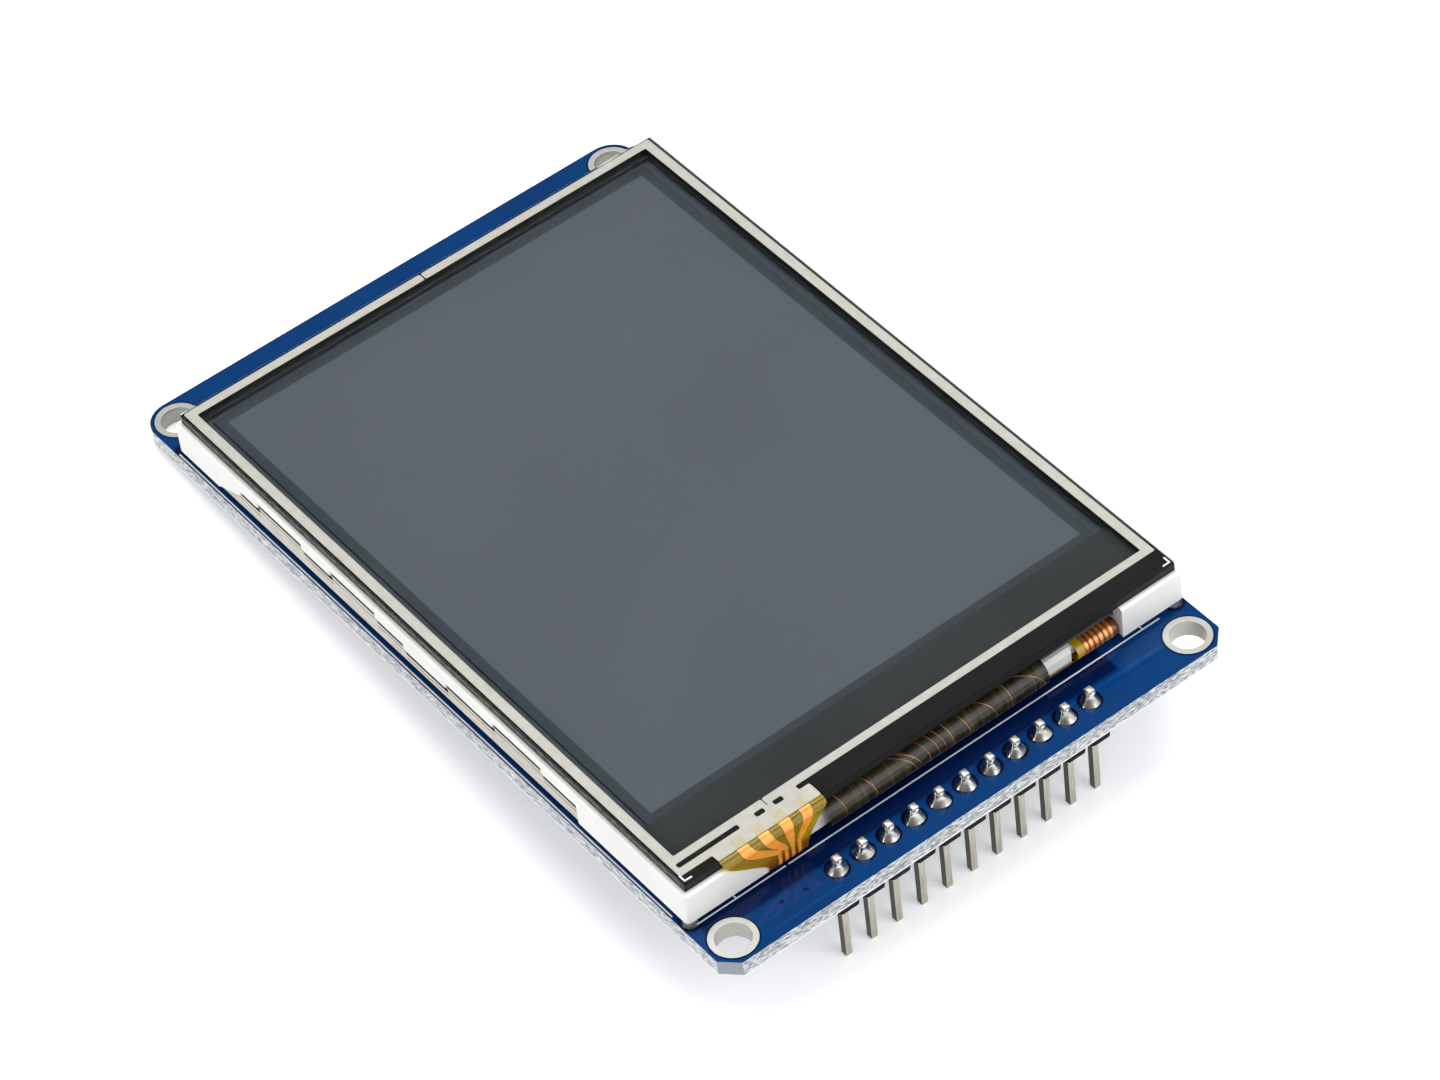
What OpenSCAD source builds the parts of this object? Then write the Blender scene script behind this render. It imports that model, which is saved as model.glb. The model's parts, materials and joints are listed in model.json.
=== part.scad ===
// Colour TFT display module with a resistive touch panel on a pin-header board.
// Millimetres. The origin is the centre of the four mounting holes, on the
// board's underside. +Z points out of the screen, +Y away from the pin header.

/* [Board] */
// Width of the circuit board
board_w = 50.5; // [50.3:0.1:60]
// Length of the circuit board
board_l = 80.3; // [79:0.1:95]
// Thickness of the circuit board
board_t = 1.6; // [1:0.1:2.4]
// Chamfer of the two corners at the header
front_chamfer = 1.4; // [0.6:0.1:1.8]
// Radius of the two corners away from the header
rear_corner_r = 2.4; // [1:0.1:3]

/* [Mounting holes] */
// Distance from the board's edges to each hole's centre
hole_inset = 2.39; // [2.2:0.01:3]
// Clear diameter of a plated hole
hole_d = 3; // [2:0.1:3.2]
// Width of the copper ring around a hole
ring_w = 0.5; // [0.3:0.05:0.6]
// Thickness of the plating
plating_t = 0.05; // [0.03:0.01:0.08]

/* [Pin header] */
// Number of pins
pin_count = 11; // [3:1:14]
// Distance from pin to pin
pin_pitch = 2.54; // [2:0.01:2.8]
// Side of a square pin
pin_w = 0.64; // [0.5:0.01:0.7]
// Pin length under the housing
pin_below = 6; // [3:0.1:9]
// Pin length over the board
pin_above = 1.4; // [1.2:0.05:2]
// Length of the tapered end of a pin
pin_taper = 0.12; // [0.1:0.02:0.5]
// Side of the square flat left at a tapered end
pin_tip_w = 0.54; // [0.4:0.02:0.6]
// Height of the header's housing
housing_h = 2.54; // [1.5:0.01:3.5]
// Depth of the header's housing, front to rear
housing_w = 2.5; // [2:0.05:3]
// Bevel of the notches between the housing's segments
housing_bevel = 0.5; // [0.2:0.05:0.7]
// Diameter of a drilled pin hole in the board
pin_hole_d = 1.02; // [1:0.01:1.2]
// Diameter of a solder cone at the board
joint_d = 1.9; // [1.5:0.05:2.1]
// Diameter of a solder cone at its top
joint_top_d = 0.98; // [0.92:0.01:1.1]
// Height of a solder cone
joint_h = 0.95; // [0.5:0.05:1.1]

/* [Display body] */
// Distance from the board's sides to the moulded frame
frame_side_margin = 0.25; // [0.1:0.01:0.6]
// Distance from the board's front edge to the frame
display_setback = 5.2; // [5:0.05:6]
// Distance from the board's rear edge to the frame
rear_strip_l = 5.9; // [5:0.05:7]
// Thickness of the foam tape under the frame
foam_t = 1; // [0.6:0.05:1.5]
// Width of a foam tape
foam_w = 2; // [1:0.1:3]
// Distance from the frame's side to a foam tape
foam_inset = 1.2; // [0.5:0.1:3]
// Thickness of the frame's side and rear walls
wall_t = 0.8; // [0.6:0.05:1]
// Thickness of the frame's front walls
front_wall_t = 1.15; // [1:0.05:1.4]
// Width of the shelf that carries the glass
shelf_w = 1; // [0.6:0.05:1.2]
// How far the walls stand over the display glass
frame_lip = 0.1; // [0.05:0.01:0.3]
// Length of the front wall at the left
left_wall_l = 8; // [5:0.1:9]
// Length of the front block at the right
right_block_l = 6.4; // [5:0.1:8]
// Distance from the frame's front to the lower rail
rail_setback = 0.75; // [0.6:0.05:0.9]
// Front to rear depth of the lower rail
rail_t = 1.1; // [0.9:0.05:1.2]
// Bevel of the rail's upper front edge
rail_bevel_w = 0.35; // [0.1:0.05:0.5]
// Extra setback of the rail behind the backlight flex
rail_notch = 0.4; // [0.2:0.05:0.5]
// Chamfer along the frame's top edges
frame_chamfer = 0.2; // [0.1:0.05:0.35]
// Radius of the frame's upright corners
frame_corner_r = 0.4; // [0.2:0.05:0.5]
// Diameter of a locating peg
peg_d = 0.9; // [0.6:0.05:1]
// Clearance of a peg in its hole in the board
peg_clearance = 0.2; // [0.1:0.05:0.2]
// Distance from the frame's sides to a peg's centre
peg_inset = 0.6; // [0.55:0.05:0.8]
// Depth that a peg reaches into the board
peg_depth = 1; // [0.5:0.1:1]
// Depth of the stepped recess in the side walls
recess_depth = 0.3; // [0.15:0.05:0.4]
// Height of the side recess at its lowest step
recess_h = 1.1; // [0.8:0.05:1.2]
// Rise from one level of the side recess to the next
recess_rise_h = 0.6; // [0.3:0.05:0.65]

/* [Backlight] */
// Thickness of the reflector film
reflector_t = 0.1; // [0.05:0.01:0.2]
// Length of a folded reflector tab
tab_l = 3.3; // [2:0.1:4]
// Height of a folded reflector tab
tab_h = 0.95; // [0.5:0.05:1.2]
// Thickness of the light guide
guide_t = 0.8; // [0.7:0.05:1]
// Distance from the frame's front to the light guide
guide_setback = 3.4; // [3.2:0.05:4]
// Thickness of the diffuser film
diffuser_t = 0.1; // [0.05:0.01:0.2]
// Thickness of the prism film
prism_t = 0.15; // [0.1:0.01:0.25]
// Thickness of the black rim tape under the glass
rim_tape_t = 0.05; // [0.03:0.01:0.1]
// Number of backlight lamps
lamp_count = 4; // [2:1:6]
// Distance from the light guide's sides to the outer lamps
lamp_side_margin = 8.6; // [5:0.1:9]
// Length of a lamp
lamp_l = 3.8; // [2:0.1:4.5]
// Front to rear depth of a lamp
lamp_depth = 1.2; // [0.8:0.05:1.25]

/* [Display glass] */
// Thickness of a polarizer
polarizer_t = 0.2; // [0.1:0.01:0.25]
// Thickness of the lower glass, which carries the circuits
circuit_glass_t = 0.55; // [0.4:0.05:0.7]
// Thickness of the upper glass, which carries the colour filter
filter_glass_t = 0.55; // [0.4:0.05:0.7]
// Length of the ledge where the lower glass is bare
ledge_l = 4.6; // [4.2:0.1:5.4]
// Distance from the frame's sides to the active area
active_side_margin = 3.4; // [3.2:0.05:4]
// Distance from the frame's front to the active area
active_setback = 8.5; // [8.2:0.1:9]
// Distance from the frame's rear to the active area
active_rear_margin = 3.1; // [3:0.05:4]
// How far the polarizers reach past the active area
polarizer_margin = 0.9; // [0.4:0.05:1]
// Distance from the glass's sides to the driver chip
driver_side_margin = 15.6; // [12:0.1:18]
// Width of the driver chip
driver_w = 1.1; // [0.6:0.05:1.5]
// Height of the driver chip
driver_h = 0.3; // [0.2:0.01:0.4]
// Distance from the lower glass's front edge to the driver chip
driver_setback = 2.2; // [2:0.05:2.4]

/* [Touch panel] */
// Distance from the frame's sides to the touch panel
touch_side_margin = 0.5; // [0.3:0.05:0.6]
// Distance from the frame's front to the touch panel
touch_front_margin = 0.45; // [0.35:0.05:0.6]
// Distance from the frame's rear to the touch panel
touch_rear_margin = 0.55; // [0.35:0.05:0.7]
// Thickness of the black gasket under the touch panel
gasket_t = 0.1; // [0.05:0.01:0.3]
// Width of the gasket along the sides and the rear
gasket_w = 1.2; // [0.9:0.05:1.4]
// Thickness of the touch panel's glass
touch_glass_t = 0.65; // [0.5:0.05:1.1]
// Thickness of the touch panel's film
film_t = 0.18; // [0.12:0.01:0.25]
// Thickness of the printed silver
silver_t = 0.02; // [0.01:0.005:0.04]
// Width of the silver border on the left and right
silver_side_w = 0.85; // [0.5:0.05:0.9]
// Width of the silver border at the rear
silver_rear_w = 0.8; // [0.5:0.05:0.85]
// Width of the silver border at the front
silver_front_w = 0.75; // [0.4:0.05:0.8]
// Distance from the touch panel's sides to the silver border's inner edge
silver_side_inset = 1.1; // [1:0.05:1.2]
// Distance from the touch panel's rear to the silver border's inner edge
silver_rear_inset = 0.9; // [0.9:0.05:1.2]
// Distance from the touch panel's front to the silver border's inner edge
silver_front_inset = 2.8; // [2.7:0.05:3.2]
// Distance from the touch panel's front to the silver plate over the touch flex
silver_edge_gap = 0.1; // [0.05:0.05:0.5]
// Distance from the touch panel's front to the silver lead at the left
silver_lead_setback = 0.7; // [0.5:0.05:0.9]
// Width of the silver lead at the left
silver_lead_w = 0.45; // [0.3:0.05:0.5]
// Gap where the silver border is interrupted
silver_gap = 0.15; // [0.1:0.01:0.3]

/* [Flex circuits] */
// Thickness of a flex circuit
flex_t = 0.1; // [0.08:0.01:0.14]
// Thickness of the conductors laid on a flex circuit
conductor_t = 0.03; // [0.02:0.005:0.04]
// Gap at the touch panel's front between the touch flex and the display flex
flex_side_gap = 0.2; // [0.1:0.05:1]
// Length of the display flex bonded to the glass
lcd_bond_l = 1.2; // [0.8:0.05:1.6]
// Level length of the display flex under the frame
lcd_level_l = 4.5; // [3:0.1:9]
// Length of the ramp from a level flex down to its solder pads
ramp_l = 2.5; // [2:0.1:4]
// Number of solder pads under the display flex
lcd_pad_count = 14; // [6:1:16]
// Distance from the display flex's sides to its outer solder pads
lcd_pad_inset = 1.5; // [1:0.1:3]
// Width of a solder pad
pad_w = 0.7; // [0.4:0.05:0.8]
// Length of a solder pad
pad_l = 2; // [1:0.1:2.5]
// Thickness of a solder pad
pad_t = 0.04; // [0.02:0.01:0.06]
// Level length of the backlight flex under the frame
light_level_l = 0.3; // [0.1:0.05:1]
// Width of the backlight flex where it folds round the rail
light_flex_w = 4.2; // [3:0.1:4.4]
// How much wider the backlight flex is under the rail
light_foot_extra = 3.1; // [1:0.1:3.3]
// Gap between the backlight flex and the front block
light_flex_gap = 0.05; // [0.02:0.01:0.3]
// Distance from the fold's right edge to its copper tracks
light_track_inset = 0.75; // [0.5:0.05:1]
// Number of copper tracks on the backlight flex's tail
light_track_count = 6; // [2:1:6]
// Distance from copper track to copper track
light_track_pitch = 0.5; // [0.4:0.01:0.55]
// Width of a copper track on the backlight flex's tail
light_track_w = 0.28; // [0.15:0.01:0.35]
// Width of the touch flex at the touch panel
touch_flex_w = 10; // [8:0.1:10.5]
// Width of the touch flex where it turns under the frame
touch_foot_w = 3.8; // [3:0.1:5]
// Distance from the touch panel's left side to the touch flex's middle
touch_flex_x = 8.35; // [8:0.05:9]
// Length of the touch flex bonded in the touch panel
touch_bond_l = 1.5; // [1:0.05:2]
// Gap between the hanging touch flex and the frame's front
touch_flex_gap = 0.09; // [0.05:0.01:0.2]
// Radius of the touch flex's lower bend
touch_foot_r = 0.7; // [0.5:0.05:0.8]
// Level length of the touch flex under the frame
touch_level_l = 0.8; // [0.3:0.1:2]
// Distance from the middle of the touch flex to the middle of its foot
touch_foot_shift = 0.95; // [0:0.05:1.5]
// Width of a touch conductor at the touch panel
fan_top_w = 1; // [0.6:0.05:1.3]
// Width of a touch conductor at its waist
fan_waist_w = 0.32; // [0.2:0.01:0.5]
// Distance between touch conductors at the touch panel
fan_top_pitch = 2; // [1.5:0.05:2.2]
// Distance between touch conductors at their waist
fan_waist_pitch = 0.64; // [0.55:0.01:0.8]
// Height over the board of the waist where the touch conductors draw together
fan_waist_h = 2.2; // [1.6:0.05:2.6]

/* [Underside parts] */
// Placement grid of the parts on the board's underside
placement_grid = 0.5; // [0.4:0.05:0.55]
// Length of the touch controller's package
chip_l = 5; // [4:0.1:6.5]
// Width of the touch controller's package
chip_w = 4.4; // [3:0.1:5]
// Height of the touch controller's package
chip_h = 1; // [0.8:0.05:1.2]
// Number of leads on one side of the touch controller
chip_lead_count = 7; // [4:1:7]
// Distance from lead to lead of the touch controller
chip_lead_pitch = 0.65; // [0.5:0.01:0.65]
// Length of the voltage regulator's package
regulator_l = 2.9; // [2.5:0.1:4.5]
// Width of the voltage regulator's package
regulator_w = 1.6; // [1.3:0.1:2.5]
// Height of the voltage regulator's package
regulator_h = 1.1; // [0.8:0.05:1.5]
// Distance from lead to lead of the voltage regulator
regulator_lead_pitch = 0.95; // [0.8:0.01:1]
// Reach of a lead from its package
lead_reach = 0.9; // [0.6:0.05:1.2]
// Thickness of a lead
lead_t = 0.15; // [0.1:0.01:0.2]
// Width of a controller lead
lead_w = 0.25; // [0.15:0.01:0.3]
// Length of a chip resistor or capacitor
passive_l = 1.6; // [1.2:0.05:2]
// Width of a chip resistor or capacitor
passive_w = 0.8; // [0.5:0.05:1]
// Height of a chip capacitor
capacitor_h = 0.8; // [0.5:0.05:1]
// Height of a chip resistor
resistor_h = 0.45; // [0.3:0.05:0.6]
// Length of the tinned end of a chip resistor or capacitor
terminal_l = 0.32; // [0.2:0.01:0.4]

/* [Hidden] */

// Play between a loose layer and the walls around it
layer_gap = 0.1;
// Smallest overlap that makes a cut run clear of a face
cut = 1;
round_fn = 64;
small_fn = 32;

// Board
hole_span_x = board_w - 2 * hole_inset;
hole_span_y = board_l - 2 * hole_inset;
header_y = -hole_span_y / 2;

// Heights of the layers, from the board up
z_board = board_t;
z_frame = z_board + foam_t;
z_guide = z_frame + reflector_t;
z_diffuser = z_guide + guide_t;
z_prism = z_diffuser + diffuser_t;
z_shelf = z_prism + prism_t;
z_lower_polarizer = z_shelf + rim_tape_t;
z_circuit = z_lower_polarizer + polarizer_t;
z_filter = z_circuit + circuit_glass_t;
z_upper_polarizer = z_filter + filter_glass_t;
z_display_top = z_upper_polarizer + polarizer_t;
z_frame_top = z_display_top + frame_lip;
z_touch_glass = z_frame_top + gasket_t;
z_spacer = z_touch_glass + touch_glass_t;
z_silver = z_spacer + flex_t;
z_film = z_silver + silver_t;

// Display body in plan
frame_w = board_w - 2 * frame_side_margin;
frame_y0 = -board_l / 2 + display_setback;
frame_y1 = board_l / 2 - rear_strip_l;
frame_l = frame_y1 - frame_y0;
opening_left = frame_w / 2 - left_wall_l;
opening_right = frame_w / 2 - right_block_l;
pocket_w = frame_w - 2 * wall_t;
pocket_y0 = frame_y0 + front_wall_t;
pocket_y1 = frame_y1 - wall_t;
guide_w = pocket_w - 2 * shelf_w;
guide_y0 = frame_y0 + guide_setback;
guide_y1 = pocket_y1 - shelf_w;
rail_y0 = frame_y0 + rail_setback;
rail_y1 = rail_y0 + rail_t;
glass_w = pocket_w - 2 * layer_gap;
glass_y0 = pocket_y0 + layer_gap;
glass_y1 = pocket_y1 - layer_gap;
active_w = frame_w - 2 * active_side_margin;
active_y0 = frame_y0 + active_setback;
active_y1 = frame_y1 - active_rear_margin;
driver_l = glass_w - 2 * driver_side_margin;
lamp_pitch = (guide_w - 2 * lamp_side_margin - lamp_l) / (lamp_count - 1);

// The side recess: ends of its stretches as shares of the frame's length, and the level of each
side_marks = [for (share = [0.2, 0.265, 0.358, 0.45, 0.532, 0.587, 0.678, 0.736, 0.827, 0.914])
    share * frame_l];
side_levels = [1, 2, 1, 0, 1, 2, 1, 2, 1];
// The reflector's tabs fold up in the middle of the highest stretches
tab_marks = [for (i = [0 : len(side_levels) - 1]) if (side_levels[i] == 2)
    (side_marks[i] + side_marks[i + 1]) / 2];

// Touch panel in plan
touch_w = frame_w - 2 * touch_side_margin;
touch_y0 = frame_y0 + touch_front_margin;
touch_y1 = frame_y1 - touch_rear_margin;
silver_x = touch_w / 2 - silver_side_inset;
silver_y0 = touch_y0 + silver_front_inset;
silver_y1 = touch_y1 - silver_rear_inset;

// Folds of the flex circuits
flex_z = z_board + foam_t / 2;
flex_end_z = z_board + pad_t + flex_t / 2;
lcd_top_z = z_filter + flex_t / 2;
lcd_bend_r = (lcd_top_z - flex_z) / 2;
lcd_bend_y = pocket_y0;
lcd_end_y = lcd_bend_y + lcd_level_l + ramp_l + pad_l;
lcd_flex_w = frame_w - 2 * (touch_side_margin + touch_flex_x + touch_flex_w / 2 + flex_side_gap);
lcd_pad_pitch = (lcd_flex_w - 2 * lcd_pad_inset) / (lcd_pad_count - 1);
light_top_z = z_diffuser + flex_t / 2;
light_bend_r = (light_top_z - flex_z) / 2;
light_bend_y = rail_y0 + rail_notch;
light_x1 = opening_right - light_flex_gap;
light_x0 = light_x1 - light_flex_w;
light_foot_x0 = light_x0 - light_foot_extra;
light_side_gap = 0.4;
light_end_y = light_bend_y + light_level_l + ramp_l + pad_l;
touch_flex_mid = -touch_w / 2 + touch_flex_x;
touch_hang_y = frame_y0 - touch_flex_gap - flex_t / 2;
touch_top_z = z_spacer + flex_t / 2;
touch_top_r = touch_y0 - touch_hang_y;
touch_foot_mid = touch_flex_mid + touch_foot_shift;
fan_top_mid = touch_flex_mid + fan_top_w * 0.2;
fan_waist_mid = touch_foot_mid + fan_waist_w * 0.3;
touch_end_y = touch_hang_y + touch_foot_r + touch_level_l + ramp_l + pad_l;

// Places of the underside parts on the placement grid: steps from the middle, steps behind the
// housing, quarter turns
parts_y = header_y + housing_w;
function grid_at(i, j) = [i * placement_grid, parts_y + j * placement_grid];
chip_at = grid_at(14, 22);
regulator_at = grid_at(-18, 20);
capacitor_places = [[-25, 28, 0], [-11, 28, 0], [25, 22, 1], [3, 22, 1]];
resistor_places = [[-3, 13, 1], [1, 13, 1], [5, 13, 1], [29, 22, 1], [-29, 16, 1], [-10, 13, 0]];

// ---- shared shapes ----

// A flat layer between two corners, with its underside at z
module layer(w, y0, y1, z, t) {
    translate([-w / 2, y0, z]) cube([w, y1 - y0, t]);
}

// Puts its children at the four mounting holes, or at one of them
module at_hole(i) {
    side = i % 2 == 0 ? -1 : 1;
    end = i < 2 ? -1 : 1;
    translate([side * hole_span_x / 2, end * hole_span_y / 2, 0]) children();
}

// X of a header pin, counted from 0
function pin_x(i) = (i - (pin_count - 1) / 2) * pin_pitch;

// X of a place in an even row about x = 0
function row_x(i, count, pitch) = (i - (count - 1) / 2) * pitch;

// Turns a drawing in the side plane (y, z) into a solid from x0 to x1
module from_side(x0, x1) {
    translate([x0, 0, 0]) rotate([90, 0, 90]) linear_extrude(x1 - x0) children();
}

// Half of a ring in the side plane, open to the rear
module half_bend(y, z, r, t) {
    translate([y, z]) intersection() {
        difference() {
            circle(r + t / 2, $fn = round_fn);
            circle(r - t / 2, $fn = round_fn);
        }
        translate([-2 * r, -2 * r]) square([2 * r, 4 * r]);
    }
}

// Quarter of a ring in the side plane, in the front quadrant above (up = 1) or below (up = -1)
module quarter_bend(y, z, r, t, up) {
    translate([y, z]) intersection() {
        difference() {
            circle(r + t / 2, $fn = round_fn);
            circle(r - t / 2, $fn = round_fn);
        }
        translate([-2 * r, up > 0 ? 0 : -2 * r]) square([2 * r, 2 * r]);
    }
}

// A straight stretch of film in the side plane, level, from y0 to y1
module level_strip(y0, y1, z, t) {
    translate([y0, z - t / 2]) square([y1 - y0, t]);
}

// The film's tail under the frame: level, down a ramp, and flat on the solder pads
module tail_strip(y0, y1, t) {
    ramp_y1 = y1 - pad_l;
    ramp_y0 = ramp_y1 - ramp_l;
    polygon([
        [y0, flex_z - t / 2], [ramp_y0, flex_z - t / 2], [ramp_y1, flex_end_z - t / 2],
        [y1, flex_end_z - t / 2], [y1, flex_end_z + t / 2], [ramp_y1, flex_end_z + t / 2],
        [ramp_y0, flex_z + t / 2], [y0, flex_z + t / 2]
    ]);
}

// ---- circuit board ----

module board_outline() {
    w = board_w / 2;
    l = board_l / 2;
    polygon([
        [-w, -l + front_chamfer], [-w + front_chamfer, -l], [w - front_chamfer, -l],
        [w, -l + front_chamfer], [w, l - rear_corner_r], [w - rear_corner_r, l],
        [-w + rear_corner_r, l], [-w, l - rear_corner_r]
    ]);
    for (side = [-1, 1]) {
        translate([side * (w - rear_corner_r), l - rear_corner_r])
            circle(rear_corner_r, $fn = round_fn);
    }
}

module peg_places() {
    for (side = [-1, 1]) {
        translate([side * (frame_w / 2 - peg_inset), frame_y0 + peg_inset, 0]) children();
    }
}

module circuit_board() {
    color("#1d4183") difference() {
        linear_extrude(board_t) board_outline();
        for (i = [0 : 3]) {
            at_hole(i) translate([0, 0, -cut])
                cylinder(d = hole_d + 2 * plating_t, h = board_t + 2 * cut, $fn = round_fn);
        }
        for (i = [0 : pin_count - 1]) {
            translate([pin_x(i), header_y, -cut])
                cylinder(d = pin_hole_d, h = board_t + 2 * cut, $fn = small_fn);
        }
        peg_places() translate([0, 0, -cut])
            cylinder(d = peg_d + 2 * peg_clearance, h = board_t + 2 * cut, $fn = small_fn);
    }
}

module hole_plating(i) {
    bore_r = hole_d / 2;
    color("#c9c9c4") at_hole(i) rotate_extrude($fn = round_fn) polygon([
        [bore_r, -plating_t], [bore_r + ring_w, -plating_t], [bore_r + ring_w, 0],
        [bore_r + plating_t, 0], [bore_r + plating_t, board_t], [bore_r + ring_w, board_t],
        [bore_r + ring_w, board_t + plating_t], [bore_r, board_t + plating_t]
    ]);
}

module pad_row(x, y1, count, pitch) {
    for (i = [0 : count - 1]) {
        translate([x + row_x(i, count, pitch) - pad_w / 2, y1 - pad_l, z_board])
            cube([pad_w, pad_l, pad_t]);
    }
}

module flex_pads() {
    color("#b8ada0") {
        pad_row(0, lcd_end_y, lcd_pad_count, lcd_pad_pitch);
        pad_row(touch_foot_mid, touch_end_y, 4, touch_foot_w / 4);
        pad_row((light_x0 + light_x1) / 2, light_end_y, 2, light_flex_w / 2);
    }
}

// ---- pin header ----

module housing_segment() {
    p = pin_pitch / 2;
    w = housing_w / 2;
    b = housing_bevel;
    polygon([
        [-p, -w + b], [-p + b, -w], [p - b, -w], [p, -w + b],
        [p, w - b], [p - b, w], [-p + b, w], [-p, w - b]
    ]);
}

module header_housing() {
    color("#1a1a1b") difference() {
        for (i = [0 : pin_count - 1]) {
            translate([pin_x(i), header_y, -housing_h]) linear_extrude(housing_h)
                housing_segment();
        }
        for (i = [0 : pin_count - 1]) {
            translate([pin_x(i) - pin_w / 2, header_y - pin_w / 2, -housing_h - cut])
                cube([pin_w, pin_w, housing_h + 2 * cut]);
        }
    }
}

// Side outline of a pin, with both ends tapered
module pin_outline() {
    top = z_board + pin_above;
    bottom = -housing_h - pin_below;
    a = pin_w / 2;
    b = pin_tip_w / 2;
    polygon([
        [-b, bottom], [b, bottom], [a, bottom + pin_taper], [a, top - pin_taper],
        [b, top], [-b, top], [-a, top - pin_taper], [-a, bottom + pin_taper]
    ]);
}

module header_pin(i) {
    color("#a9a596") translate([pin_x(i), header_y, 0]) intersection() {
        rotate([90, 0, 0]) linear_extrude(pin_w, center = true) pin_outline();
        rotate([90, 0, 90]) linear_extrude(pin_w, center = true) pin_outline();
    }
}

// A concave cone of solder over the board and the filling of the hole under it
module solder_joint(i) {
    steps = 8;
    base_r = joint_d / 2;
    top_r = joint_top_d / 2;
    color("#c4c4c4") translate([pin_x(i), header_y, 0]) difference() {
        rotate_extrude($fn = small_fn) polygon(concat(
            [[0, 0], [pin_hole_d / 2, 0], [pin_hole_d / 2, z_board]],
            [for (k = [0 : steps])
                [top_r + (base_r - top_r) * pow(1 - k / steps, 2), z_board + joint_h * k / steps]],
            [[0, z_board + joint_h]]
        ));
        translate([-pin_w / 2, -pin_w / 2, -cut])
            cube([pin_w, pin_w, z_board + joint_h + 2 * cut]);
    }
}

// ---- backlight ----

module foam_tape(side) {
    x = side * (frame_w / 2 - foam_inset - foam_w / 2);
    y0 = frame_y0 + 2 * peg_inset + foam_inset;
    color("#161617") translate([x - foam_w / 2, y0, z_board])
        cube([foam_w, frame_y1 - foam_inset - y0, foam_t]);
}

module frame_outline() {
    r = frame_corner_r;
    w = frame_w / 2;
    polygon([
        [-w, frame_y0 + r], [-w + r, frame_y0], [w - r, frame_y0], [w, frame_y0 + r],
        [w, frame_y1 - r], [w - r, frame_y1], [-w + r, frame_y1], [-w, frame_y1 - r]
    ]);
    for (side = [-1, 1], y = [frame_y0 + r, frame_y1 - r]) {
        translate([side * (w - r), y]) circle(r, $fn = small_fn);
    }
}

// Square bars that bevel the four top edges of the frame
module frame_bevels() {
    s = frame_chamfer * sqrt(2);
    mid_y = (frame_y0 + frame_y1) / 2;
    for (side = [-1, 1]) {
        translate([side * frame_w / 2, mid_y, z_frame_top]) rotate([0, 45, 0])
            cube([s, frame_l + 2 * cut, s], center = true);
        translate([0, mid_y + side * frame_l / 2, z_frame_top]) rotate([45, 0, 0])
            cube([frame_w + 2 * cut, s, s], center = true);
    }
}

// Bevels the upper front edge of the lower rail
module rail_bevel() {
    s = rail_bevel_w * sqrt(2);
    translate([(opening_right - opening_left) / 2, rail_y0, z_shelf]) rotate([45, 0, 0])
        cube([opening_left + opening_right - 2 * s, s, s], center = true);
}

// The stepped recess along the foot of both side walls
module side_recess() {
    for (i = [0 : len(side_levels) - 1], side = [-1, 1]) {
        h = recess_h + side_levels[i] * recess_rise_h;
        l = side_marks[i + 1] - side_marks[i];
        translate([side * frame_w / 2 - recess_depth, frame_y0 + side_marks[i], z_frame - cut])
            cube([2 * recess_depth, l, h + cut]);
    }
}

// Slots that let the reflector's tabs out under the side walls
module tab_slots() {
    for (mark = tab_marks, side = [-1, 1]) {
        x0 = side > 0 ? guide_w / 2 - layer_gap : -frame_w / 2 - cut;
        x1 = side > 0 ? frame_w / 2 + cut : -guide_w / 2 + layer_gap;
        translate([x0, frame_y0 + mark - tab_l / 2, z_frame - cut])
            cube([x1 - x0, tab_l, reflector_t + cut]);
    }
}

module backlight_frame() {
    top_h = z_frame_top + cut;
    color("#eeeeea") {
        difference() {
            translate([0, 0, z_frame]) linear_extrude(z_frame_top - z_frame) frame_outline();
            layer(pocket_w, pocket_y0, pocket_y1, z_shelf, top_h - z_shelf);
            layer(guide_w, rail_y1, guide_y1, z_frame - cut, top_h - z_frame);
            translate([-opening_left, frame_y0 - cut, z_frame - cut])
                cube([opening_left + opening_right, rail_setback + cut, top_h]);
            translate([-opening_left, frame_y0 - cut, z_shelf])
                cube([opening_left + opening_right, front_wall_t + 2 * cut, top_h]);
            translate([light_x0 - light_side_gap, frame_y0 - cut, z_frame - cut])
                cube([opening_right - light_x0 + light_side_gap, rail_setback + rail_notch + cut, top_h]);
            translate([light_x0 - light_side_gap, frame_y0 - cut, z_diffuser])
                cube([opening_right - light_x0 + light_side_gap, rail_y1 - frame_y0 + 2 * cut, top_h]);
            rail_bevel();
            side_recess();
            tab_slots();
            frame_bevels();
        }
        peg_places() translate([0, 0, z_board - peg_depth])
            cylinder(d = peg_d, h = foam_t + peg_depth, $fn = small_fn);
    }
}

module reflector_film() {
    half = guide_w / 2 - layer_gap;
    reach = frame_w / 2 - recess_depth;
    color("#e4e4e0") {
        layer(2 * half, rail_y1 + layer_gap, guide_y1 - layer_gap, z_frame, reflector_t);
        for (mark = tab_marks, side = [-1, 1]) {
            x0 = side > 0 ? half - cut : -reach - reflector_t;
            y0 = frame_y0 + mark - tab_l / 2;
            translate([x0, y0, z_frame]) cube([reach + reflector_t - half + cut, tab_l, reflector_t]);
            translate([side > 0 ? reach : -reach - reflector_t, y0, z_frame])
                cube([reflector_t, tab_l, tab_h]);
        }
    }
}

module light_guide() {
    color("#dfe8ea") layer(guide_w - 2 * layer_gap, guide_y0, guide_y1 - layer_gap, z_guide, guide_t);
}

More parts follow.
